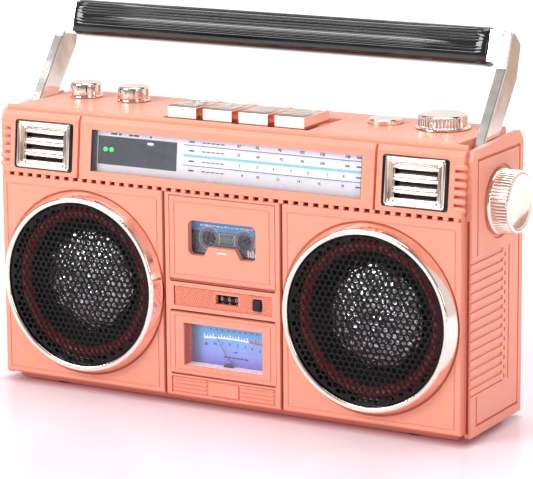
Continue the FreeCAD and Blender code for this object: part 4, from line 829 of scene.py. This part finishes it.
COLUMN_HALF = (28.35, 29.75)
COLUMN_SPAN = (4.4, 94.5)
RECESS_HALF = 24.4
RECESS_LOW, RECESS_HIGH = 44.9, 53.4
RECESS_Y = FRONT_Y + 0.7
SEAM_Y = FRONT_Y + 1.95
TOOTH_Y = -25.45
CHEEK_EDGE = (113.6, 114.7)
CHEEK_FRONT_Y = -22.85
SHADE_THICK = 0.03


def facing_strip(build, x0, x1, y, z0, z1):
    """A strip facing forwards, carrying painted shade."""
    corners = [Vector((x, y, z)) for x, z in rectangle(x0, x1, z0, z1)]
    build.slab(corners, (0, SHADE_THICK, 0))


# Painted shade: dark strips on the groove floors, between the band's teeth, under the door, and along the
# left and top edges of the counter's recess.
build = Build()
for side in (-1, 1):
    x0, x1 = sorted(side * edge for edge in COLUMN_HALF)
    facing_strip(build, x0, x1, SEAM_Y, *COLUMN_SPAN)
for low, high in ((13.85, 14.45), (42.15, 42.95)):
    facing_strip(build, -25.95, 25.95, SEAM_Y, low, high)
facing_strip(build, -25.9, 25.9, FRONT_Y - SHADE_THICK, 55.4, 55.95)
facing_strip(build, -112.8, 112.8, TOOTH_Y, 94.65, 96.25)
facing_strip(build, -RECESS_HALF, -24.0, RECESS_Y - SHADE_THICK, RECESS_LOW, RECESS_HIGH)
facing_strip(build, -RECESS_HALF, RECESS_HALF, RECESS_Y - SHADE_THICK, 53.05, RECESS_HIGH)
build.piece("seam_shades", DARK_SEAM_SHADE, "cabinet", "cone_paper")

# Painted shade in the gap between the cabinet front and each cheek.
build = Build()
for side in (-1, 1):
    x0, x1 = sorted(side * edge for edge in CHEEK_EDGE)
    facing_strip(build, x0, x1, CHEEK_FRONT_Y, 4.5, 94.5)
build.piece("cheek_seam_shades", SOFT_SEAM_SHADE, "cabinet", "pink_plastic")


# ---------------------------------------------------------------- counter

DOT_ROWS, DOT_COLUMNS = 8, 41
DOT_FIRST_X, DOT_FIRST_Z = -23.6, 45.45
DOT_LAST_X = 23.9
DOT_STEP, DOT_ROW = 1.18, 1.06
DOT_BASE_LONG, DOT_BASE_HIGH = 0.46, 0.42
DOT_TOP, DOT_HIGH = 0.26, 0.4
CLEARINGS = ((-4.3, 8.1, 46.7, 52.1), (14.5, 19.7, 46.0, 52.0))


def in_clearing(x, z):
    """Whether a dot would stand in the counter's window or against the reset button."""
    return any(x0 < x < x1 and z0 < z < z1 for x0, x1, z0, z1 in CLEARINGS)


build = Build()
for row in range(DOT_ROWS):
    for column in range(DOT_COLUMNS):
        x = DOT_FIRST_X + column * DOT_STEP + (0.0 if row % 2 == 0 else DOT_STEP / 2)
        z = DOT_FIRST_Z + row * DOT_ROW
        if x > DOT_LAST_X or in_clearing(x, z):
            continue
        low = [Vector((x + dx * DOT_BASE_LONG, RECESS_Y, z + dz * DOT_BASE_HIGH)) for dx, dz in SQUARE]
        high = [Vector((x + dx * DOT_TOP, RECESS_Y - DOT_HIGH, z + dz * DOT_TOP)) for dx, dz in SQUARE]
        build.add(low + high, BLOCK_FACES)
build.piece("counter_dots", PINK, "cabinet", "pink_plastic")

WHEEL_Y, WHEEL_Z = -20.2, 49.4
WHEEL_R = 4.2
WHEEL_FIRST_X, WHEEL_STEP = -3.5, 3.6
for number, name in enumerate(("hundreds", "tens", "units")):
    centre = WHEEL_FIRST_X + WHEEL_STEP * (number + 0.5)
    build = Build()
    for digit in range(10):
        turn = math.radians(36 * digit)

        def on_wheel(x, depth, z, turn=turn):
            angle = z / WHEEL_R + turn
            reach = WHEEL_R - depth
            return Vector((x, WHEEL_Y - reach * math.cos(angle), WHEEL_Z + reach * math.sin(angle)))

        lettering(build, str(digit), on_wheel, centre, 0, 2.5, 0.06)
    build.piece(name + "_figures", GREY_INK, "counter_" + name, "dial_silver")


# ---------------------------------------------------------------- keys

KEY_FIRST_X, KEY_PITCH = -31, 17.6
KEY_FRONT_Y = -18.3
KEY_TOP = DECK_TOP + 5.4
KEY_FALL = 0.2 / 21.4
BED = rectangle(0.75, 13.45, -17.7, -1.6)
BED_LIFT, BED_THICK = 0.02, 0.06
STUD_ROWS, STUD_COLUMNS = 19, 15
STUD_X, STUD_Y = 1.15, -17.3
STUD_STEP = 0.85
STUD_BASE, STUD_TOP = 0.24, 0.16
STUD_SUNK, STUD_HIGH = 0.05, 0.14


def key_top(y):
    """Height of a key's face, which falls a little towards the back."""
    return KEY_TOP - (y - KEY_FRONT_Y) * KEY_FALL


for number, name in enumerate(("record_key", "play_key", "wind_key", "stop_key")):
    start = KEY_FIRST_X + KEY_PITCH * number
    bed = Build()
    bed.slab([Vector((start + x, y, key_top(y) + BED_LIFT)) for x, y in BED], (0, 0, BED_THICK))
    bed.piece(name + "_bed", KEY_BED, name, "rose_chrome")
    build = Build()
    for row in range(STUD_ROWS):
        for column in range(STUD_COLUMNS):
            x = start + STUD_X + column * STUD_STEP
            y = STUD_Y + row * STUD_STEP
            z = key_top(y)
            low = [Vector((x + dx * STUD_BASE, y + dy * STUD_BASE, z - STUD_SUNK)) for dx, dy in SQUARE]
            high = [Vector((x + dx * STUD_TOP, y + dy * STUD_TOP, z + STUD_HIGH)) for dx, dy in SQUARE]
            build.add(low + high, BLOCK_FACES)
    build.piece(name + "_studs", CHROME, name, "rose_chrome")


# ---------------------------------------------------------------- knobs

def turned_knob(node, profile, centre, axis, steps, knurl=None):
    """A knob turned about an axis from (radius, distance) pairs. knurl gives (ridges, depth, first, last):
    profile rows between first and last are drawn in and out round the rim."""
    points = []
    for row, (radius, distance) in enumerate(profile):
        for angle in around(steps):
            reach = radius
            if knurl and knurl[2] <= row <= knurl[3]:
                reach -= knurl[1] * (0.5 - 0.5 * math.cos(angle * knurl[0])) ** 0.6
            a, b = reach * math.cos(angle), reach * math.sin(angle)
            spot = (distance, a, b) if axis == "x" else (a, b, distance)
            points.append(Vector(centre) + Vector(spot))
    faces = skin(len(profile), steps)
    faces.append(tuple(range(steps - 1, -1, -1)))
    faces.append(tuple(range((len(profile) - 1) * steps, len(profile) * steps)))
    item = piece(node + "_detail", points, faces, KNURL, node, "rose_chrome", smooth=True)
    item.data.set_sharp_from_angle(angle=math.radians(38))
    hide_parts(node)


VOLUME_PROFILE = (
    (2.0, -8.0), (2.0, 0.3), (11.6, 0.3), (11.7, 0.45), (11.6, 0.75), (10.75, 1.05), (10.6, 1.2), (10.6, 1.5),
    (10.55, 5.0), (10.5, 5.3), (10.3, 5.7), (9.9, 6.0), (9.4, 6.17), (8.8, 6.2), (0.5, 6.15))
TUNING_PROFILE = (
    (2.5, -12.0), (2.5, -0.55), (13.9, -0.55), (14.0, -0.4), (14.0, 0.9), (13.7, 1.3), (13.55, 1.6),
    (13.25, 7.9), (13.1, 8.3), (12.9, 8.75), (12.5, 9.1), (12.0, 9.2), (11.2, 9.12), (10.9, 8.85),
    (10.6, 8.75), (0.5, 8.75))
SMALL_PROFILE = (
    (2.0, -8.0), (2.0, 0.3), (7.45, 0.3), (7.5, 0.42), (7.45, 0.7), (7.3, 0.9), (7.22, 1.2), (7.2, 2.0),
    (7.2, 5.7), (7.12, 6.1), (6.95, 6.4), (6.6, 6.65), (6.2, 6.78), (5.8, 6.8), (5.4, 6.72), (0.5, 6.6))
VOLUME_RIDGES, TUNING_RIDGES = 46, 60
STEPS_PER_RIDGE = 8

turned_knob("volume_knob", VOLUME_PROFILE, (86, CONTROL_Y, DECK_TOP), "z", VOLUME_RIDGES * STEPS_PER_RIDGE,
            (VOLUME_RIDGES, 0.5, 7, 9))
turned_knob("tuning_knob", TUNING_PROFILE, (115.7, 4.6, 98.3), "x", TUNING_RIDGES * STEPS_PER_RIDGE,
            (TUNING_RIDGES, 0.42, 6, 8))
for name, x in (("tone_knob", -67.2), ("band_knob", -92.5)):
    turned_knob(name, SMALL_PROFILE, (x, CONTROL_Y, DECK_TOP), "z", 128)


# ---------------------------------------------------------------- vents and corner ribs

DOMED_END = ((0.0, 0.05), (0.1, 0.5), (0.35, 0.82), (0.7, 0.96), (1.0, 1.0))


def bar(build, x0, x1, depth, up, radius, squash, sides):
    """A rounded bar along X with domed ends, lying on the upper band."""
    rows = [(x0 + inset * radius, share) for inset, share in DOMED_END]
    rows += [(x1 - inset * radius, share) for inset, share in reversed(DOMED_END)]
    points = []
    for x, share in rows:
        for angle in around(sides):
            points.append(on_band(x, depth - radius * squash * share * math.sin(angle),
                                  up + radius * share * math.cos(angle)))
    faces = skin(len(rows), sides, flipped=True)
    faces.append(tuple(range(sides)))
    faces.append(tuple(range(len(rows) * sides - 1, (len(rows) - 1) * sides - 1, -1)))
    build.add(points, faces)


CORNER_STEPS = 5


def rounded_frame(build, x0, x1, low, high, profile):
    """A picture-frame moulding: profile rows are (inset from the outer edge, depth)."""
    points = []
    for inset, depth in profile:
        soft = max(0.0, 1.3 - inset * 0.45)
        left, right = x0 + inset + soft, x1 - inset - soft
        bottom, top = low + inset + soft, high - inset - soft
        for x, up, start in ((right, top, 0), (left, top, 90), (left, bottom, 180), (right, bottom, 270)):
            for step in range(CORNER_STEPS):
                angle = math.radians(start + 22.5 * step)
                points.append(on_band(x + soft * math.cos(angle), depth, up + soft * math.sin(angle)))
    build.add(points, skin(len(profile), 4 * CORNER_STEPS))


FRAME_PROFILE = (
    (0.0, 3.4), (0.0, -0.5), (0.25, -0.95), (0.7, -1.1), (1.2, -1.05), (1.6, -0.75), (1.8, -0.2),
    (1.85, 0.35), (2.3, 0.55), (2.7, 0.5), (2.95, 0.2), (3.3, 0.15), (3.5, 0.5), (3.55, 2.2))
RIM_PROFILE = ((0.0, 3.0), (0.0, -0.1), (0.25, -0.45), (1.3, -0.6), (1.7, -0.2), (1.9, 3.0))
VENT_X = (76.6, 106.0)
FRAME_INSET = 0.9
FRAME_LOW, FRAME_HIGH = 3.4, 23.9
RIM_REACH = 0.55
LOUVRE_X = (80.3, 102.3)
LOUVRE_UPS = (5.0, 10.15, 15.25, 20.3)
LOUVRE_DEPTH = 1.6
LOUVRE_R, LOUVRE_SQUASH, LOUVRE_SIDES = 1.78, 0.78, 20
POST_X = (80.8, 101.8)
POST_HALF, POST_DEPTH, POST_THICK = 0.7, 0.75, 2.0
POST_LOW, POST_HIGH = 6.9, 18.5
BACK_DEPTH, BACK_THICK = 3.0, 0.3
BACK_LOW, BACK_HIGH = 4.4, 22.9
RIB_X = (108.6, 114.2)
RIB_DEPTH, RIB_FIRST_UP, RIB_STEP = 0.75, 4.25, 3.5
RIB_R, RIB_SIDES = 1.2, 16


def band_slab(build, x0, x1, depth, low, high, thick):
    """A flat block let into the upper band."""
    corners = [on_band(x, depth, up) for x, up in rectangle(x0, x1, low, high)]
    build.slab(corners, inwards(on_band, thick))


for side, name in SIDES:
    x0, x1 = sorted(side * edge for edge in VENT_X)
    build = Build()
    rounded_frame(build, x0 + FRAME_INSET, x1 - FRAME_INSET, FRAME_LOW, FRAME_HIGH, FRAME_PROFILE)
    s0, s1 = sorted(side * edge for edge in LOUVRE_X)
    for up in LOUVRE_UPS:
        bar(build, s0, s1, LOUVRE_DEPTH, up, LOUVRE_R, LOUVRE_SQUASH, LOUVRE_SIDES)
    for x in sorted(side * edge for edge in POST_X):
        band_slab(build, x - POST_HALF, x + POST_HALF, POST_DEPTH, POST_LOW, POST_HIGH, POST_THICK)
    # A black base round the trim, which also stands in for the shade in the gap round it.
    rim = Build()
    rounded_frame(rim, x0 - RIM_REACH, x1 + RIM_REACH, FRAME_LOW - RIM_REACH, FRAME_HIGH + RIM_REACH,
                  RIM_PROFILE)
    rim.piece(name + "_vent_rim", BLACK, "cabinet", "black_plastic", smooth=True)
    item = build.piece(name + "_vent_detail", CHROME, "cabinet", "rose_chrome", smooth=True)
    item.data.set_sharp_from_angle(angle=math.radians(42))
    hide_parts(name + "_vent_trim")
    build = Build()
    band_slab(build, x0 + 1, x1 - 1, BACK_DEPTH, BACK_LOW, BACK_HIGH, BACK_THICK)
    build.piece(name + "_vent_back", BLACK, "cabinet", "black_plastic")
    build = Build()
    r0, r1 = sorted(side * edge for edge in RIB_X)
    for number in range(6):
        bar(build, r0, r1, RIB_DEPTH, RIB_FIRST_UP + RIB_STEP * number, RIB_R, 1.0, RIB_SIDES)
    build.piece(name + "_corner_ribs", PINK, "cabinet", "pink_plastic", smooth=True)


# ---------------------------------------------------------------- grip

GRIP_Y, GRIP_Z = 23.4, 159.0
GRIP_TILT = math.radians(-18)
HALF_Y, HALF_Z = 6.2, 8.12
ROUNDNESS = 3.2
OUTLINE_STEPS = 432
LOWEST_RIB = -3.4
RIB_BACK = 0.75
RIB_PITCH, RIB_DEEP = 1.3, 0.7
GRIP_BLACK = dark_plastic("grip_gloss", (0.010, 0.010, 0.012), rough=0.07, radius=0.05, coat=0.2, gloss=0.5)

# Each section: place along the grip, share of full size, whether it is ribbed
SECTIONS = (
    (-103.0, 0.86, False), (-102.4, 0.96, False), (-101.6, 1.0, False), (-97.4, 1.0, False),
    (-96.6, 1.0, True), (-50, 1.0, True), (0, 1.0, True), (50, 1.0, True), (96.6, 1.0, True),
    (97.4, 1.0, False), (101.6, 1.0, False), (102.4, 0.96, False), (103.0, 0.86, False))


def rib_phase(y, z):
    """Distance round the outline, in ribs, from the lowest rib upwards and over the top."""
    return (z - LOWEST_RIB + max(0.0, y + HALF_Y - 1.5) * 1.1) / RIB_PITCH


def grip_outline(ribbed):
    """The grip's outline as (y, z) about its middle: plain below, ribs round the upper front."""
    found = []
    for angle in around(OUTLINE_STEPS):
        c, s = math.cos(angle), math.sin(angle)
        y = math.copysign(abs(c) ** (2 / ROUNDNESS), c)
        z = math.copysign(abs(s) ** (2 / ROUNDNESS), s)
        inset = 0.0
        height = z * HALF_Z
        if ribbed and y < RIB_BACK and height > LOWEST_RIB:
            inset = RIB_DEEP * (0.5 - 0.5 * math.cos(2 * math.pi * rib_phase(y * HALF_Y, height))) ** 0.5
        found.append((y * (HALF_Y - inset), z * (HALF_Z - inset * 0.8)))
    return found


points = []
for x, scale, ribbed in SECTIONS:
    for y, z in grip_outline(ribbed):
        y, z = y * scale, z * scale
        points.append((x, GRIP_Y + y * math.cos(GRIP_TILT) - z * math.sin(GRIP_TILT),
                       GRIP_Z + y * math.sin(GRIP_TILT) + z * math.cos(GRIP_TILT)))
faces = skin(len(SECTIONS), OUTLINE_STEPS)
faces.append(tuple(range(OUTLINE_STEPS - 1, -1, -1)))
faces.append(tuple(range(len(points) - OUTLINE_STEPS, len(points))))
item = piece("grip_ribbed", points, faces, GRIP_BLACK, "handle", "black_plastic", smooth=True)
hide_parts("handle_grip")


# ---------------------------------------------------------------- studio, in metres

def flat_sheet(name, half_wide, half_tall, material):
    """A rectangle about the origin, for the studio around the object."""
    mesh = bpy.data.meshes.new(name)
    corners = [(dx * half_wide, dy * half_tall, 0) for dx, dy in SQUARE]
    mesh.from_pydata(corners, [], [(0, 1, 2, 3)])
    mesh.materials.append(material)
    item = bpy.data.objects.new(name, mesh)
    bpy.context.scene.collection.objects.link(item)
    return item


def floor_material():
    """A pale glossy floor with a painted shadow and pink reflection round the object: darker pink colour and
    less glow close beside it.
    """
    s = Surface("floor", Specular_IOR_Level=0.5, Emission_Strength=0.3)

    def vector(operation, first, second=(0.0, 0.0, 0.0)):
        return s.add("ShaderNodeVectorMath", {0: first, 1: second}, operation=operation)

    away = s.remap(vector("LENGTH", s.place).outputs["Value"], 0.13, 0.42)
    pale = s.mix(s.noise(3.0), (0.93, 0.925, 0.925), (0.95, 0.945, 0.945))
    outside = vector("ABSOLUTE", s.place).outputs["Vector"]
    outside = vector("SUBTRACT", outside, FOOTPRINT).outputs["Vector"]
    outside = vector("MAXIMUM", outside).outputs["Vector"]
    # Painted shadow close round the footprint, and a painted pink reflection fading further out.
    clear = s.remap(vector("LENGTH", outside).outputs["Value"], 0.0, 0.006)
    shadow_and_reflection_tint = s.mix(clear, (0.55, 0.30, 0.33), (0.80, 0.70, 0.76))
    s.to(s.mix(away, shadow_and_reflection_tint, pale), "Base Color")
    glow_with_painted_shadow = s.mix(clear, (0.24, 0.16, 0.175), (0.35, 0.31, 0.34))
    s.to(s.mix(away, glow_with_painted_shadow, (1.0, 0.99, 1.0)), "Emission Color")
    s.to(s.remap(s.noise(8.0), 0.3, 0.7, 0.20, 0.26), "Roughness")
    return s.material


FOOTPRINT = (0.113, 0.024, 0.0)
FLOOR_HALF = 6.0
flat_sheet("floor", FLOOR_HALF, FLOOR_HALF, floor_material())


def area_light(name, at, target, size, power):
    data = bpy.data.lights.new(name, "AREA")
    data.shape = "RECTANGLE"
    data.size = size
    data.size_y = size
    data.energy = power
    item = bpy.data.objects.new(name, data)
    item.location = at
    item.rotation_mode = "QUATERNION"
    item.rotation_quaternion = (Vector(target) - Vector(at)).to_track_quat("-Z", "Y")
    bpy.context.scene.collection.objects.link(item)


MIDDLE = (0, 0, 0.07)
area_light("key", (-0.80, -1.18, 1.03), MIDDLE, 0.8, 22.0)
area_light("fill", (1.3, -0.9, 0.5), MIDDLE, 0.5, 3.0)
area_light("top", (0.0, 0.3, 1.6), MIDDLE, 1.1, 15.0)


def reflector(name, at, target, wide, tall, value):
    """A matt card that only shows in reflections."""
    s = Surface(name)
    s.to(s.mix(s.noise(5.0), tone(value, 0.95), value), "Base Color")
    s.shader.inputs["Roughness"].default_value = 0.9
    item = flat_sheet(name, wide / 2, tall / 2, s.material)
    facing = (Vector(target) - Vector(at)).to_track_quat("Z", "Y").to_matrix().to_4x4()
    item.matrix_world = Matrix.Translation(at) @ facing
    item.visible_camera = False
    item.visible_shadow = False
    item.visible_diffuse = False


reflector("card_side", (0.42, 0.66, 0.06), (0.115, 0.02, 0.145), 0.5, 0.16, (0.40, 0.29, 0.235))
reflector("card_front", (-0.75, -1.25, 0.22), MIDDLE, 0.10, 0.5, (0.02, 0.02, 0.02))
reflector("card_left", (-1.1, -0.2, 0.25), MIDDLE, 0.35, 0.6, (0.03, 0.03, 0.03))
reflector("card_high", (0.45, -0.25, 1.0), (0.05, -0.03, 0.06), 1.2, 0.16, (0.02, 0.02, 0.02))
reflector("card_camera", (0.46, -0.80, 0.16), MIDDLE, 0.16, 0.26, (0.02, 0.018, 0.018))


def studio_world():
    """A surrounding that is bright behind the object and dimmer in front of it."""
    world = bpy.data.worlds.new("studio")
    bpy.context.scene.world = world
    world.use_nodes = True
    tree = world.node_tree
    ground = tree.nodes["Background"]
    ground.inputs["Strength"].default_value = 1.0
    where = tree.nodes.new("ShaderNodeTexCoord")
    split = tree.nodes.new("ShaderNodeSeparateXYZ")
    depth = tree.nodes.new("ShaderNodeMapRange")
    depth.inputs["From Min"].default_value = -1.0
    depth.inputs["From Max"].default_value = 1.0
    ramp = tree.nodes.new("ShaderNodeValToRGB")
    levels = ((0.0, 0.28), (0.45, 0.42), (0.62, 0.9), (1.0, 1.0))
    for position, level in levels[1:-1]:
        ramp.color_ramp.elements.new(position)
    for element, (position, level) in zip(ramp.color_ramp.elements, levels):
        element.color = (level, level * 0.985, level * 0.98, 1)
    tree.links.new(where.outputs["Generated"], split.inputs[0])
    tree.links.new(split.outputs["Y"], depth.inputs["Value"])
    tree.links.new(depth.outputs["Result"], ramp.inputs["Fac"])
    tree.links.new(ramp.outputs["Color"], ground.inputs["Color"])


studio_world()
scene = bpy.context.scene
scene.view_settings.view_transform = "Standard"
scene.view_settings.look = "None"


# ---------------------------------------------------------------- camera

AZIMUTH = math.radians(29.65)
ELEVATION = math.radians(12.45)
ROLL = math.radians(-0.46)
DISTANCE = 1176.1
TARGET = Vector((9.11, -4.4, 72.72))
camera_data = bpy.data.cameras.new("camera")
camera = bpy.data.objects.new("camera", camera_data)
scene.collection.objects.link(camera)
level = math.cos(ELEVATION)
back = Vector((math.sin(AZIMUTH) * level, -math.cos(AZIMUTH) * level, math.sin(ELEVATION)))
right = Vector((0, 0, 1)).cross(back).normalized()
above = back.cross(right)
rolled_right = right * math.cos(ROLL) + above * math.sin(ROLL)
rolled_up = above * math.cos(ROLL) - right * math.sin(ROLL)
turn = Matrix((rolled_right, rolled_up, back)).transposed().to_4x4()
camera.matrix_world = Matrix.Translation((TARGET + back * DISTANCE) * MM) @ turn
camera_data.sensor_width = 36.0
camera_data.lens = 183.7
camera_data.clip_start = 0.01
camera_data.clip_end = 50.0
scene.camera = camera
